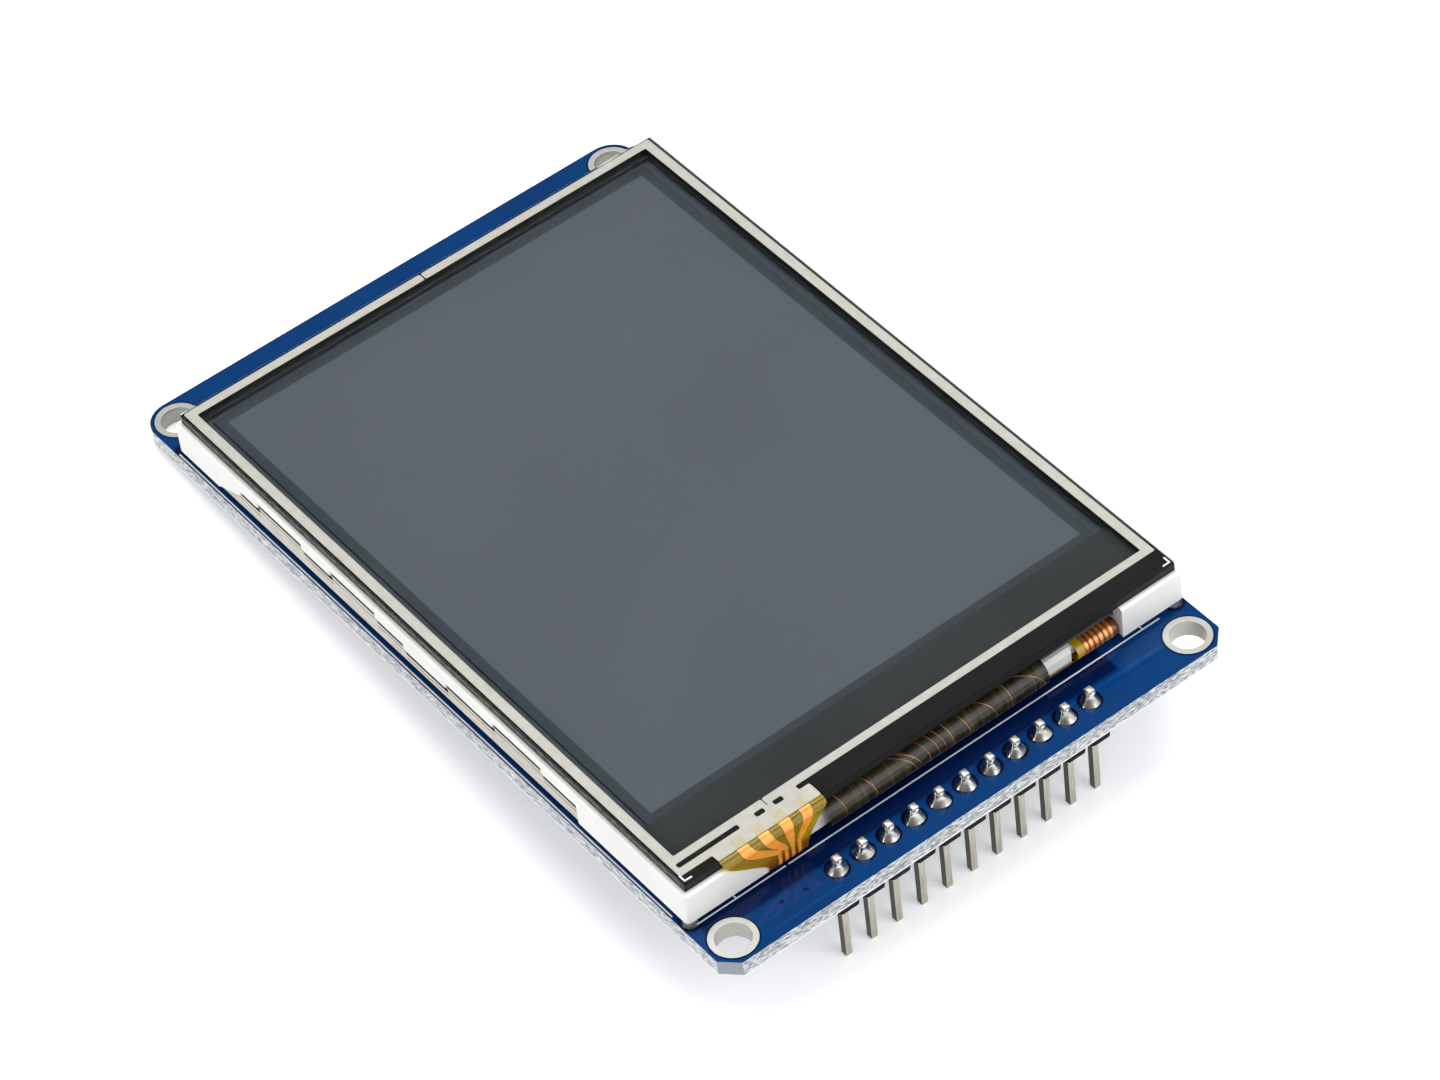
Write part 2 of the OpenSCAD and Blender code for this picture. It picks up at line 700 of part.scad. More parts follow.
module backlight_lamps() {
    color("#e9dfa0") for (i = [0 : lamp_count - 1]) {
        translate([row_x(i, lamp_count, lamp_pitch) - lamp_l / 2, guide_y0 - lamp_depth, z_guide])
            cube([lamp_l, lamp_depth, guide_t]);
    }
}

// Section of the backlight flex's tail, thickened outwards by a conductor of thickness grow
module light_tail_section(t, grow) {
    r = light_bend_r + grow;
    level_strip(light_bend_y, guide_y0, light_top_z + grow, t);
    half_bend(light_bend_y, (light_top_z + flex_z) / 2, r, t);
}

module backlight_flex() {
    strip_x0 = row_x(0, lamp_count, lamp_pitch) - lamp_l / 2;
    color("#8a4b12") {
        translate([strip_x0, guide_y0 - lamp_depth, z_diffuser])
            cube([light_x1 - strip_x0, lamp_depth, flex_t]);
        from_side(light_x0, light_x1) light_tail_section(flex_t, 0);
        from_side(light_foot_x0, light_x1) {
            light_foot_section(flex_t);
            tail_strip(light_bend_y, light_end_y, flex_t);
        }
    }
}

// Section of the wide part of the backlight flex, from below the rail's front to its underside
module light_foot_section(t) {
    intersection() {
        half_bend(light_bend_y, (light_top_z + flex_z) / 2, light_bend_r, t);
        translate([light_bend_y - 2 * light_bend_r, flex_z - cut])
            square([2 * light_bend_r, cut + z_frame - flex_z - flex_t]);
    }
}

module backlight_tracks() {
    grow = (flex_t + conductor_t) / 2;
    color("#d98a3c") for (i = [0 : light_track_count - 1]) {
        x = light_x1 - light_track_inset - i * light_track_pitch;
        from_side(x - light_track_w / 2, x + light_track_w / 2)
            light_tail_section(conductor_t, grow);
    }
}

module diffuser_film() {
    color("#f2f2f0") layer(guide_w - 2 * layer_gap, guide_y0 + layer_gap, guide_y1 - layer_gap,
        z_diffuser, diffuser_t);
}

module prism_film() {
    color("#e6e9ec") layer(guide_w - 2 * layer_gap, guide_y0 + layer_gap, guide_y1 - layer_gap,
        z_prism, prism_t);
}

module rim_tape() {
    inner_w = active_w + 2 * layer_gap;
    color("#121213") difference() {
        layer(glass_w, rail_y1 + layer_gap, glass_y1, z_shelf, rim_tape_t);
        layer(inner_w, active_y0 - layer_gap, active_y1 + layer_gap, z_shelf - cut,
            rim_tape_t + 2 * cut);
    }
}

// ---- display glass ----

module polarizer(z) {
    layer(active_w + 2 * polarizer_margin, active_y0 - polarizer_margin,
        active_y1 + polarizer_margin, z, polarizer_t);
}

module lower_polarizer() {
    color("#3a3f48") polarizer(z_lower_polarizer);
}

module circuit_glass() {
    color("#8fa0a8") layer(glass_w, glass_y0, glass_y1, z_circuit, circuit_glass_t);
}

module filter_glass() {
    color("#54585f") layer(glass_w, glass_y0 + ledge_l, glass_y1, z_filter, filter_glass_t);
}

module upper_polarizer() {
    color("#63676d") polarizer(z_upper_polarizer);
}

module driver_chip() {
    color("#2b2b2e") layer(driver_l, glass_y0 + driver_setback, glass_y0 + driver_setback + driver_w,
        z_filter, driver_h);
}

// The display flex leaves the glass ledge, folds round the lower rail and lies on the board
module display_flex() {
    color("#3d3f2c") from_side(-lcd_flex_w / 2, lcd_flex_w / 2) {
        level_strip(lcd_bend_y, glass_y0 + lcd_bond_l, lcd_top_z, flex_t);
        half_bend(lcd_bend_y, (lcd_top_z + flex_z) / 2, lcd_bend_r, flex_t);
        tail_strip(lcd_bend_y, lcd_end_y, flex_t);
    }
}

// ---- touch panel ----

module touch_gasket() {
    color("#101011") difference() {
        layer(touch_w, touch_y0, touch_y1, z_frame_top, gasket_t);
        layer(touch_w - 2 * gasket_w, active_y0 - polarizer_margin, touch_y1 - gasket_w,
            z_frame_top - cut, gasket_t + 2 * cut);
    }
}

module touch_glass() {
    color("#8b9499") layer(touch_w, touch_y0, touch_y1, z_touch_glass, touch_glass_t);
}

module touch_spacer() {
    color("#1c1c1e") difference() {
        layer(touch_w, touch_y0, touch_y1, z_spacer, flex_t);
        layer(2 * silver_x, silver_y0, silver_y1, z_spacer - cut, flex_t + 2 * cut);
        translate([touch_flex_mid - touch_flex_w / 2 - layer_gap, touch_y0 - cut, z_spacer - cut])
            cube([touch_flex_w + 2 * layer_gap, touch_bond_l + layer_gap + cut, flex_t + 2 * cut]);
    }
}

// The silver border, its plate over the touch flex and the slots that part them
module silver_outline() {
    outer_x = silver_x + silver_side_w;
    plate_y0 = touch_y0 + silver_edge_gap;
    lead_y0 = touch_y0 + silver_lead_setback;
    plate_x0 = touch_flex_mid - touch_flex_w / 2;
    front_y = silver_y0 - silver_front_w;
    difference() {
        union() {
            translate([-outer_x, front_y])
                square([2 * outer_x, silver_y1 + silver_rear_w - front_y]);
            translate([-outer_x, lead_y0]) square([outer_x + plate_x0, front_y - lead_y0 + 0.1]);
            translate([plate_x0, plate_y0]) square([touch_flex_w, front_y - plate_y0 + 0.1]);
        }
        translate([-silver_x, silver_y0]) square([2 * silver_x, silver_y1 - silver_y0]);
        translate([-silver_gap / 2, silver_y1 - cut]) square([silver_gap, silver_rear_w + 2 * cut]);
        translate([touch_flex_mid + fan_top_w, front_y - silver_gap])
            square([silver_gap, silver_front_w + cut]);
        slot_y = lead_y0 + silver_lead_w;
        slot_h = front_y - slot_y;
        translate([silver_lead_w - outer_x, slot_y])
            square([plate_x0 + outer_x - silver_lead_w + touch_flex_w * 0.33, slot_h]);
        for (share = [0.49, 0.67])
            translate([plate_x0 + touch_flex_w * share, slot_y]) square([touch_flex_w * 0.09, slot_h]);
        translate([plate_x0 + touch_flex_w * 0.9, slot_y]) square([touch_flex_w * 0.1 + cut, slot_h]);
    }
}

module silver_border() {
    color("#d6d2c2") translate([0, 0, z_silver]) linear_extrude(silver_t) silver_outline();
}

module touch_film() {
    color("#4c5157") layer(touch_w, touch_y0, touch_y1, z_film, film_t);
}

// Section of the touch flex from the touch panel's edge down to the frame's foot
module touch_drop_section(t, grow) {
    foot_z = flex_z + touch_foot_r;
    y = touch_hang_y - grow;
    quarter_bend(touch_y0, touch_top_z - touch_top_r, touch_top_r + grow, t, 1);
    translate([y - t / 2, foot_z]) square([t, touch_top_z - touch_top_r - foot_z]);
    quarter_bend(touch_hang_y + touch_foot_r, foot_z, touch_foot_r + grow, t, -1);
}

// Share of the way from the foot to the touch panel that the left edge has spread, from 0 to 1
function left_share(s) = pow(s * s * (3 - 2 * s), 0.8);

// Front outline of the touch flex: wide at the touch panel, narrow at the foot
module touch_flex_front() {
    steps = 10;
    top = touch_flex_w / 2;
    foot = touch_foot_w / 2;
    z0 = flex_z + touch_foot_r;
    left_h = touch_top_z - z0;
    right_h = left_h * 0.9;
    polygon(concat(
        [[touch_foot_mid - foot, flex_z - cut], [touch_foot_mid + foot, flex_z - cut]],
        [for (k = [0 : steps]) [touch_foot_mid + foot
            + (touch_flex_mid + top - touch_foot_mid - foot) * pow(k / steps, 1.5),
            z0 + right_h * k / steps]],
        [[touch_flex_mid + top, touch_top_z + cut], [touch_flex_mid - top, touch_top_z + cut]],
        [for (k = [steps : -1 : 0]) [touch_foot_mid - foot
            + (touch_flex_mid - top - touch_foot_mid + foot) * left_share(k / steps),
            z0 + left_h * k / steps]]
    ));
}

module touch_flex() {
    x0 = touch_flex_mid - touch_flex_w / 2;
    color("#a98f1c") {
        intersection() {
            from_side(x0 - cut, x0 + touch_flex_w + cut) {
                level_strip(touch_y0, touch_y0 + touch_bond_l, touch_top_z, flex_t);
                touch_drop_section(flex_t, 0);
            }
            translate([0, touch_y0 + touch_bond_l + cut, 0]) rotate([90, 0, 0])
                linear_extrude(touch_bond_l + touch_top_r + touch_foot_r + 3 * cut) touch_flex_front();
        }
        from_side(touch_foot_mid - touch_foot_w / 2, touch_foot_mid + touch_foot_w / 2)
            tail_strip(touch_hang_y + touch_foot_r, touch_end_y, flex_t);
    }
}

// Front outline of one conductor: straight below its waist, fanned out above it
module fan_conductor(i) {
    steps = 10;
    waist_x = fan_waist_mid + row_x(i, 4, fan_waist_pitch);
    reach = fan_top_mid + row_x(i, 4, fan_top_pitch) - waist_x;
    z0 = z_board + fan_waist_h;
    h = touch_top_z + conductor_t + flex_t - z0;
    polygon(concat(
        [[waist_x - fan_waist_w / 2, flex_z + flex_t]],
        [for (k = [0 : steps]) [waist_x + reach * fan_share(k / steps)
            - fan_half(k / steps, reach / h), z0 + h * k / steps]],
        [for (k = [steps : -1 : 0]) [waist_x + reach * fan_share(k / steps)
            + fan_half(k / steps, reach / h), z0 + h * k / steps]],
        [[waist_x + fan_waist_w / 2, flex_z + flex_t]]
    ));
}

// Share of a conductor's spread that is reached at the height s, from 0 at the waist to 1
function fan_share(s) = 1 - pow(1 - s, 1.7);

// Half the width along X of a conductor at the height s; a slanting stretch is wider
function fan_half(s, lean) = (fan_waist_w + (fan_top_w - fan_waist_w) * pow(s, 0.6)) / 2
    * sqrt(1 + pow(lean * 1.7 * pow(1 - s, 0.7) * min(1, 4 * s), 2));

module touch_conductors() {
    grow = (flex_t + conductor_t) / 2;
    x0 = touch_flex_mid - touch_flex_w / 2;
    color("#f0a028") for (i = [0 : 3]) {
        intersection() {
            from_side(x0 - cut, x0 + touch_flex_w + cut) touch_drop_section(conductor_t, grow);
            translate([0, touch_hang_y + touch_foot_r, 0]) rotate([90, 0, 0])
                linear_extrude(touch_top_r + touch_foot_r + cut) fan_conductor(i);
        }
    }
}

// ---- underside parts ----

// Two rows of bent leads along X, standing on the board's underside
module lead_rows(at, count, pitch, body_w, body_h, w, skip) {
    for (side = [-1, 1], i = [0 : count - 1]) {
        if (!(skip && side > 0 && i == 1)) {
            x = at[0] + row_x(i, count, pitch);
            y = at[1] + side * body_w / 2;
            flip = side > 0 ? 0 : -1;
            translate([x - w / 2, y + flip * lead_reach * 0.4, -body_h * 0.5 - lead_t])
                cube([w, lead_reach * 0.4, lead_t]);
            translate([x - w / 2, y + side * lead_reach * 0.4 - (side > 0 ? lead_t : 0),
                -body_h * 0.5 - lead_t]) cube([w, lead_t, body_h * 0.5 + lead_t]);
            translate([x - w / 2, y + side * lead_reach * 0.4 - (side > 0 ? lead_t : lead_reach * 0.6),
                -lead_t]) cube([w, lead_reach * 0.6 + lead_t, lead_t]);
        }
    }
}

// A moulded package that hangs under the board, with a small stand-off
module package(at, l, w, h) {
    stand = 0.1;
    translate([at[0] - l / 2, at[1] - w / 2, -h]) cube([l, w, h - stand]);
}

module controller_package() {
    color("#232325") difference() {
        package(chip_at, chip_l, chip_w, chip_h);
        translate([chip_at[0] - chip_l / 2 + 0.7, chip_at[1] - chip_w / 2 + 0.7, -chip_h - cut])
            cylinder(d = 0.6, h = cut + 0.08, $fn = small_fn);
    }
}

module controller_leads() {
    color("#bdbdb8") lead_rows(chip_at, chip_lead_count, chip_lead_pitch, chip_w, chip_h, lead_w, false);
}

module regulator_package() {
    color("#232325") package(regulator_at, regulator_l, regulator_w, regulator_h);
}

module regulator_leads() {
    color("#bdbdb8") lead_rows(regulator_at, 3, regulator_lead_pitch, regulator_w, regulator_h,
        lead_w * 1.5, true);
}

// Puts its children at a place [x, y, quarter turns] on the underside
module at_place(place) {
    translate(grid_at(place[0], place[1])) rotate([0, 0, 90 * place[2]]) children();
}

module chip_capacitors() {
    body_l = passive_l - 2 * terminal_l;
    color("#a8825a") for (place = capacitor_places) {
        at_place(place) translate([-body_l / 2, -passive_w / 2, -capacitor_h])
            cube([body_l, passive_w, capacitor_h]);
    }
}

module chip_resistors() {
    body_l = passive_l - 2 * terminal_l;
    color("#202022") for (place = resistor_places) {
        at_place(place) translate([-body_l / 2, -passive_w / 2, -resistor_h])
            cube([body_l, passive_w, resistor_h]);
    }
}

module terminal_pair(h) {
    for (side = [0, 1]) {
        translate([side * (passive_l - terminal_l) - passive_l / 2, -passive_w / 2, -h])
            cube([terminal_l, passive_w, h]);
    }
}

module chip_terminals() {
    color("#cfcfca") {
        for (place = capacitor_places) at_place(place) terminal_pair(capacitor_h);
        for (place = resistor_places) at_place(place) terminal_pair(resistor_h);
    }
}

// ---- nodes ----

circuit_board();
hole_plating(0);  // hole_plating_1
hole_plating(1);  // hole_plating_2
hole_plating(2);  // hole_plating_3
hole_plating(3);  // hole_plating_4
header_housing();
for (i = [0 : pin_count - 1]) {
    header_pin(i);
    solder_joint(i);
}
flex_pads();
foam_tape(-1);  // foam_tape_left
foam_tape(1);  // foam_tape_right
backlight_frame();
reflector_film();
light_guide();
backlight_lamps();
backlight_flex();
backlight_tracks();
diffuser_film();
prism_film();
rim_tape();
lower_polarizer();
circuit_glass();
filter_glass();
upper_polarizer();
driver_chip();
display_flex();
touch_gasket();
touch_glass();
touch_spacer();
silver_border();
touch_film();
touch_flex();
touch_conductors();
controller_package();
controller_leads();
regulator_package();
regulator_leads();
chip_capacitors();
chip_resistors();
chip_terminals();
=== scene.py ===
"""Dresses the colour display module for its studio picture.

The CAD nodes keep their places. This script gives each one a procedural
finish, swaps the flex circuits, the silver border, the clear layers and the
small metal parts for finer pieces, prints the white lines on the board, and
sets the floor, the lamps and the camera. The finishes and the sub-assemblies
count in millimetres. The studio and every finished mesh count in metres.
"""

import json
import logging
import math
from collections.abc import Callable
from dataclasses import dataclass
from enum import Enum

import bmesh
import bpy
from mathutils import Matrix, Vector


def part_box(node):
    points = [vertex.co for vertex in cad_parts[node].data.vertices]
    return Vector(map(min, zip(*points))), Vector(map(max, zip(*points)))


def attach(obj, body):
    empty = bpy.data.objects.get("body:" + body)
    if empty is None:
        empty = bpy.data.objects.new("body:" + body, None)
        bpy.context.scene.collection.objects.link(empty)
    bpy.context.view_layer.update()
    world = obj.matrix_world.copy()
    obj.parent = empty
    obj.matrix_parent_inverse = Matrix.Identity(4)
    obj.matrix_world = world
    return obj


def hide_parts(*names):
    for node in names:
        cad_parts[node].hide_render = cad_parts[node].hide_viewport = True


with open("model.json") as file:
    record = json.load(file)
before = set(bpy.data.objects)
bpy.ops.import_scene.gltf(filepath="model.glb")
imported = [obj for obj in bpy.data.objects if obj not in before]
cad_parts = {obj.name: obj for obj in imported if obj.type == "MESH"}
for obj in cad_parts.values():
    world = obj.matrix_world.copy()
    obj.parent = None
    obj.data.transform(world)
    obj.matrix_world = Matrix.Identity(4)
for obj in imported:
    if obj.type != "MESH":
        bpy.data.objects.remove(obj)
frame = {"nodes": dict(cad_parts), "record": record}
LOG = logging.getLogger("display_module")
MM = 0.001
FAR = 999.0
Colour = tuple[float, float, float]
Point = tuple[float, float, float]
Span = tuple[float, float]
Rect = tuple[float, float, float, float]
Sides = Callable[[float], Span]
Socket = bpy.types.NodeSocket
Piece = bpy.types.Object


def corners(node: str) -> tuple[Point, Point]:
    """Returns the lowest and the highest corner of a CAD node in millimetres."""
    low, high = (tuple(round(part / MM, 4) for part in corner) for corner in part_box(node))
    return low, high


def levels(node: str, low_gap: float, high_gap: float) -> Span:
    """Returns a layer's underside and top, each drawn into it by a gap in millimetres."""
    low, high = corners(node)
    return low[2] + low_gap, high[2] - high_gap


BOARD_LOW, BOARD_HIGH = corners("circuit_board")
FRAME_LOW, FRAME_HIGH = corners("backlight_frame")
PANEL_LOW, PANEL_HIGH = corners("touch_film")
SILVER_LOW, SILVER_HIGH = corners("silver_border")
TOUCH_FLEX_LOW, TOUCH_FLEX_HIGH = corners("touch_flex")
FIRST_PIN_LOW, FIRST_PIN_HIGH = corners("header_pin_1")
PIN_COUNT = sum(name.startswith("header_pin_") for name in frame["nodes"])
PIN_PITCH = round(corners("header_pin_2")[0][0] - FIRST_PIN_LOW[0], 4)
PIN_ROW_Y = round((FIRST_PIN_LOW[1] + FIRST_PIN_HIGH[1]) / 2, 4)


# Finishes ------------------------------------------------------------------


def shade(colour: Colour) -> tuple[float, float, float, float]:
    """Turns a screen colour into the linear one that a shader takes.

    Args:
        colour: Red, green and blue from 0 to 255, as seen on a screen.

    Returns:
        Linear red, green and blue, and an alpha of one.
    """
    linear = []
    for part in colour:
        c = part / 255
        linear.append(c / 12.92 if c <= 0.04045 else ((c + 0.055) / 1.055) ** 2.4)
    return (linear[0], linear[1], linear[2], 1.0)


class Graph:
    """The node tree of one material or of the surroundings, filled a node at a time."""

    def __init__(self, owner: bpy.types.Material | bpy.types.World, output: str = "OutputMaterial") -> None:
        """Empties the owner's node tree and gives it an output node.

        Args:
            owner: What the tree belongs to.
            output: Type of its output node.
        """
        self.owner = owner
        owner.use_nodes = True
        self.tree = owner.node_tree
        self.tree.nodes.clear()
        self.output = self.add(output)

    def add(self, kind: str, inputs: dict | None = None, **settings: object) -> bpy.types.Node:
        """Adds one node.

        Args:
            kind: Node type without its ShaderNode prefix.
            inputs: Values or sockets for its inputs, by name or number.
            settings: Properties of the node itself.

        Returns:
            The new node.
        """
        node = self.tree.nodes.new("ShaderNode" + kind)
        for name, value in settings.items():
            setattr(node, name, value)
        for key, value in (inputs or {}).items():
            if isinstance(value, Socket):
                self.tree.links.new(value, node.inputs[key])
            else:
                node.inputs[key].default_value = value
        return node

    def place(self) -> Socket:
        """Returns the point's place in the object's own metres."""
        return self.add("TexCoord").outputs["Object"]

    def noise(self, size_mm: float, detail: float = 3.0, stretch: Point = (1, 1, 1)) -> Socket:
        """Returns a soft noise from 0 to 1.

        Args:
            size_mm: Size of one blot in millimetres.
            detail: Number of finer layers.
            stretch: How many times longer a blot is along x, y and z.
        """
        scale = tuple(1 / part for part in stretch)
        turned = self.add("Mapping", {"Vector": self.place(), "Scale": scale}).outputs[0]
        settings = {"Vector": turned, "Scale": 1 / (size_mm * MM), "Detail": detail}
        return self.add("TexNoise", settings).outputs[0]

    def spread(self, fac: Socket, low: float, high: float, start: float = 0.0, end: float = 1.0) -> Socket:
        """Maps a value from start..end to low..high and returns it."""
        ends = {"From Min": start, "From Max": end, "To Min": low, "To Max": high}
        return self.add("MapRange", {"Value": fac, **ends}).outputs[0]

    def blend(self, fac: object, first: object, second: object) -> Socket:
        """Returns the colour that lies between two others by fac."""
        return self.add("Mix", {0: fac, 6: first, 7: second}, data_type="RGBA").outputs[2]

    def maths(self, operation: str, *values: object) -> Socket:
        """Returns the outcome of a Math node on up to three values."""
        return self.add("Math", dict(enumerate(values)), operation=operation).outputs[0]

    def bump(self, height: Socket, depth_mm: float) -> Socket:
        """Returns a normal raised by height, which counts depth_mm at 1."""
        return self.add("Bump", {"Height": height, "Distance": depth_mm * MM, "Strength": 1.0}).outputs[0]

    def inside(self, soft_mm: float, **spans: Span) -> Socket:
        """Returns 1 inside a region and 0 outside it.

        Args:
            soft_mm: Half width of the soft edge.
            spans: From and to in millimetres by axis, as x, y and z. An axis left out has no limit.
        """
        parts = self.add("SeparateXYZ", {0: self.place()}).outputs
        total = None
        for axis, (low, high) in spans.items():
            middle, half = (low + high) / 2 * MM, (high - low) / 2 * MM
            away = self.maths("ABSOLUTE", self.maths("SUBTRACT", parts[axis.upper()], middle))
            here = self.spread(away, 1.0, 0.0, half - soft_mm * MM, half + soft_mm * MM)
            total = here if total is None else self.maths("MULTIPLY", total, here)
        return total

    def disc(self, across: Socket, along: Socket, strength: float, start_mm: float, end_mm: float) -> Socket:
        """Returns strength inside a disc and 0 outside it.

        Args:
            across: Distance from its middle along one axis.
            along: Distance from its middle along the other.
            strength: Value inside.
            start_mm: Radius at which the value starts to fall.
            end_mm: Radius at which it reaches 0.
        """
        squared = self.maths("MULTIPLY_ADD", across, across, self.maths("MULTIPLY", along, along))
        return self.spread(self.maths("SQRT", squared), strength, 0, start_mm * MM, end_mm * MM)

    def facing(self, axis: int) -> Socket:
        """Returns how much the surface faces along +axis, from -1 to 1."""
        normal = self.add("NewGeometry").outputs["Normal"]
        return self.add("SeparateXYZ", {0: normal}).outputs[axis]

    def upright(self, axis: int) -> Socket:
        """Returns how much the surface faces along an axis either way, from 0 to 1."""
        return self.maths("ABSOLUTE", self.facing(axis))

    def finish(self, shader: bpy.types.Node) -> bpy.types.Material | bpy.types.World:
        """Joins the shader to the output and returns the tree's owner."""
        self.tree.links.new(shader.outputs[0], self.output.inputs[0])
        return self.owner


@dataclass(frozen=True)
class Finish:
    """A plain surface with a faint mottle in colour, gloss and height.

    Attributes:
        name: Name of the material.
        colour: Main screen colour.
        second: Screen colour of the blots.
        roughness: Roughness between blots.
        rough_spread: How much the blots change the roughness.
        metallic: 1 for bare metal.
        blot_mm: Size of one blot.
        stretch: How much longer a blot is along x, y and z.
        bump_mm: Height of the fine grain.
        grain_mm: Size of the fine grain.
        specular: Strength of the mirror part.
        coat: Strength of a clear coat.
        coat_roughness: Roughness of that coat.
    """

    name: str
    colour: Colour
    second: Colour
    roughness: float = 0.5
    rough_spread: float = 0.08
    metallic: float = 0.0
    blot_mm: float = 1.5
    stretch: Point = (1, 1, 1)
    bump_mm: float = 0.004
    grain_mm: float = 0.2
    specular: float = 0.5
    coat: float = 0.0
    coat_roughness: float = 0.05

    def surface(self, graph: Graph) -> Socket:
        """Returns the surface's colour socket, which a kind of finish may change."""
        blots = graph.spread(graph.noise(self.blot_mm, 4, self.stretch), 0, 1, 0.35, 0.65)
        return graph.blend(blots, shade(self.colour), shade(self.second))

    def gloss(self, graph: Graph) -> Socket:
        """Returns the surface's roughness socket."""
        blots = graph.noise(self.blot_mm * 0.7, 3, self.stretch)
        calm = max(0.02, self.roughness - self.rough_spread)
        rough = min(1.0, self.roughness + self.rough_spread)
        return graph.spread(blots, calm, rough, 0.3, 0.7)

    def make(self) -> bpy.types.Material:
        """Builds the material and returns it."""
        graph = Graph(bpy.data.materials.new(self.name))
        inputs = {
            "Base Color": self.surface(graph),
            "Roughness": self.gloss(graph),
            "Metallic": self.metallic,
            "Specular IOR Level": self.specular,
            "Coat Weight": self.coat,
            "Coat Roughness": self.coat_roughness,
        }
        if self.bump_mm > 0:
            grain = graph.noise(self.grain_mm, 2, self.stretch)
            inputs["Normal"] = graph.bump(grain, self.bump_mm)
        return graph.finish(graph.add("BsdfPrincipled", inputs))


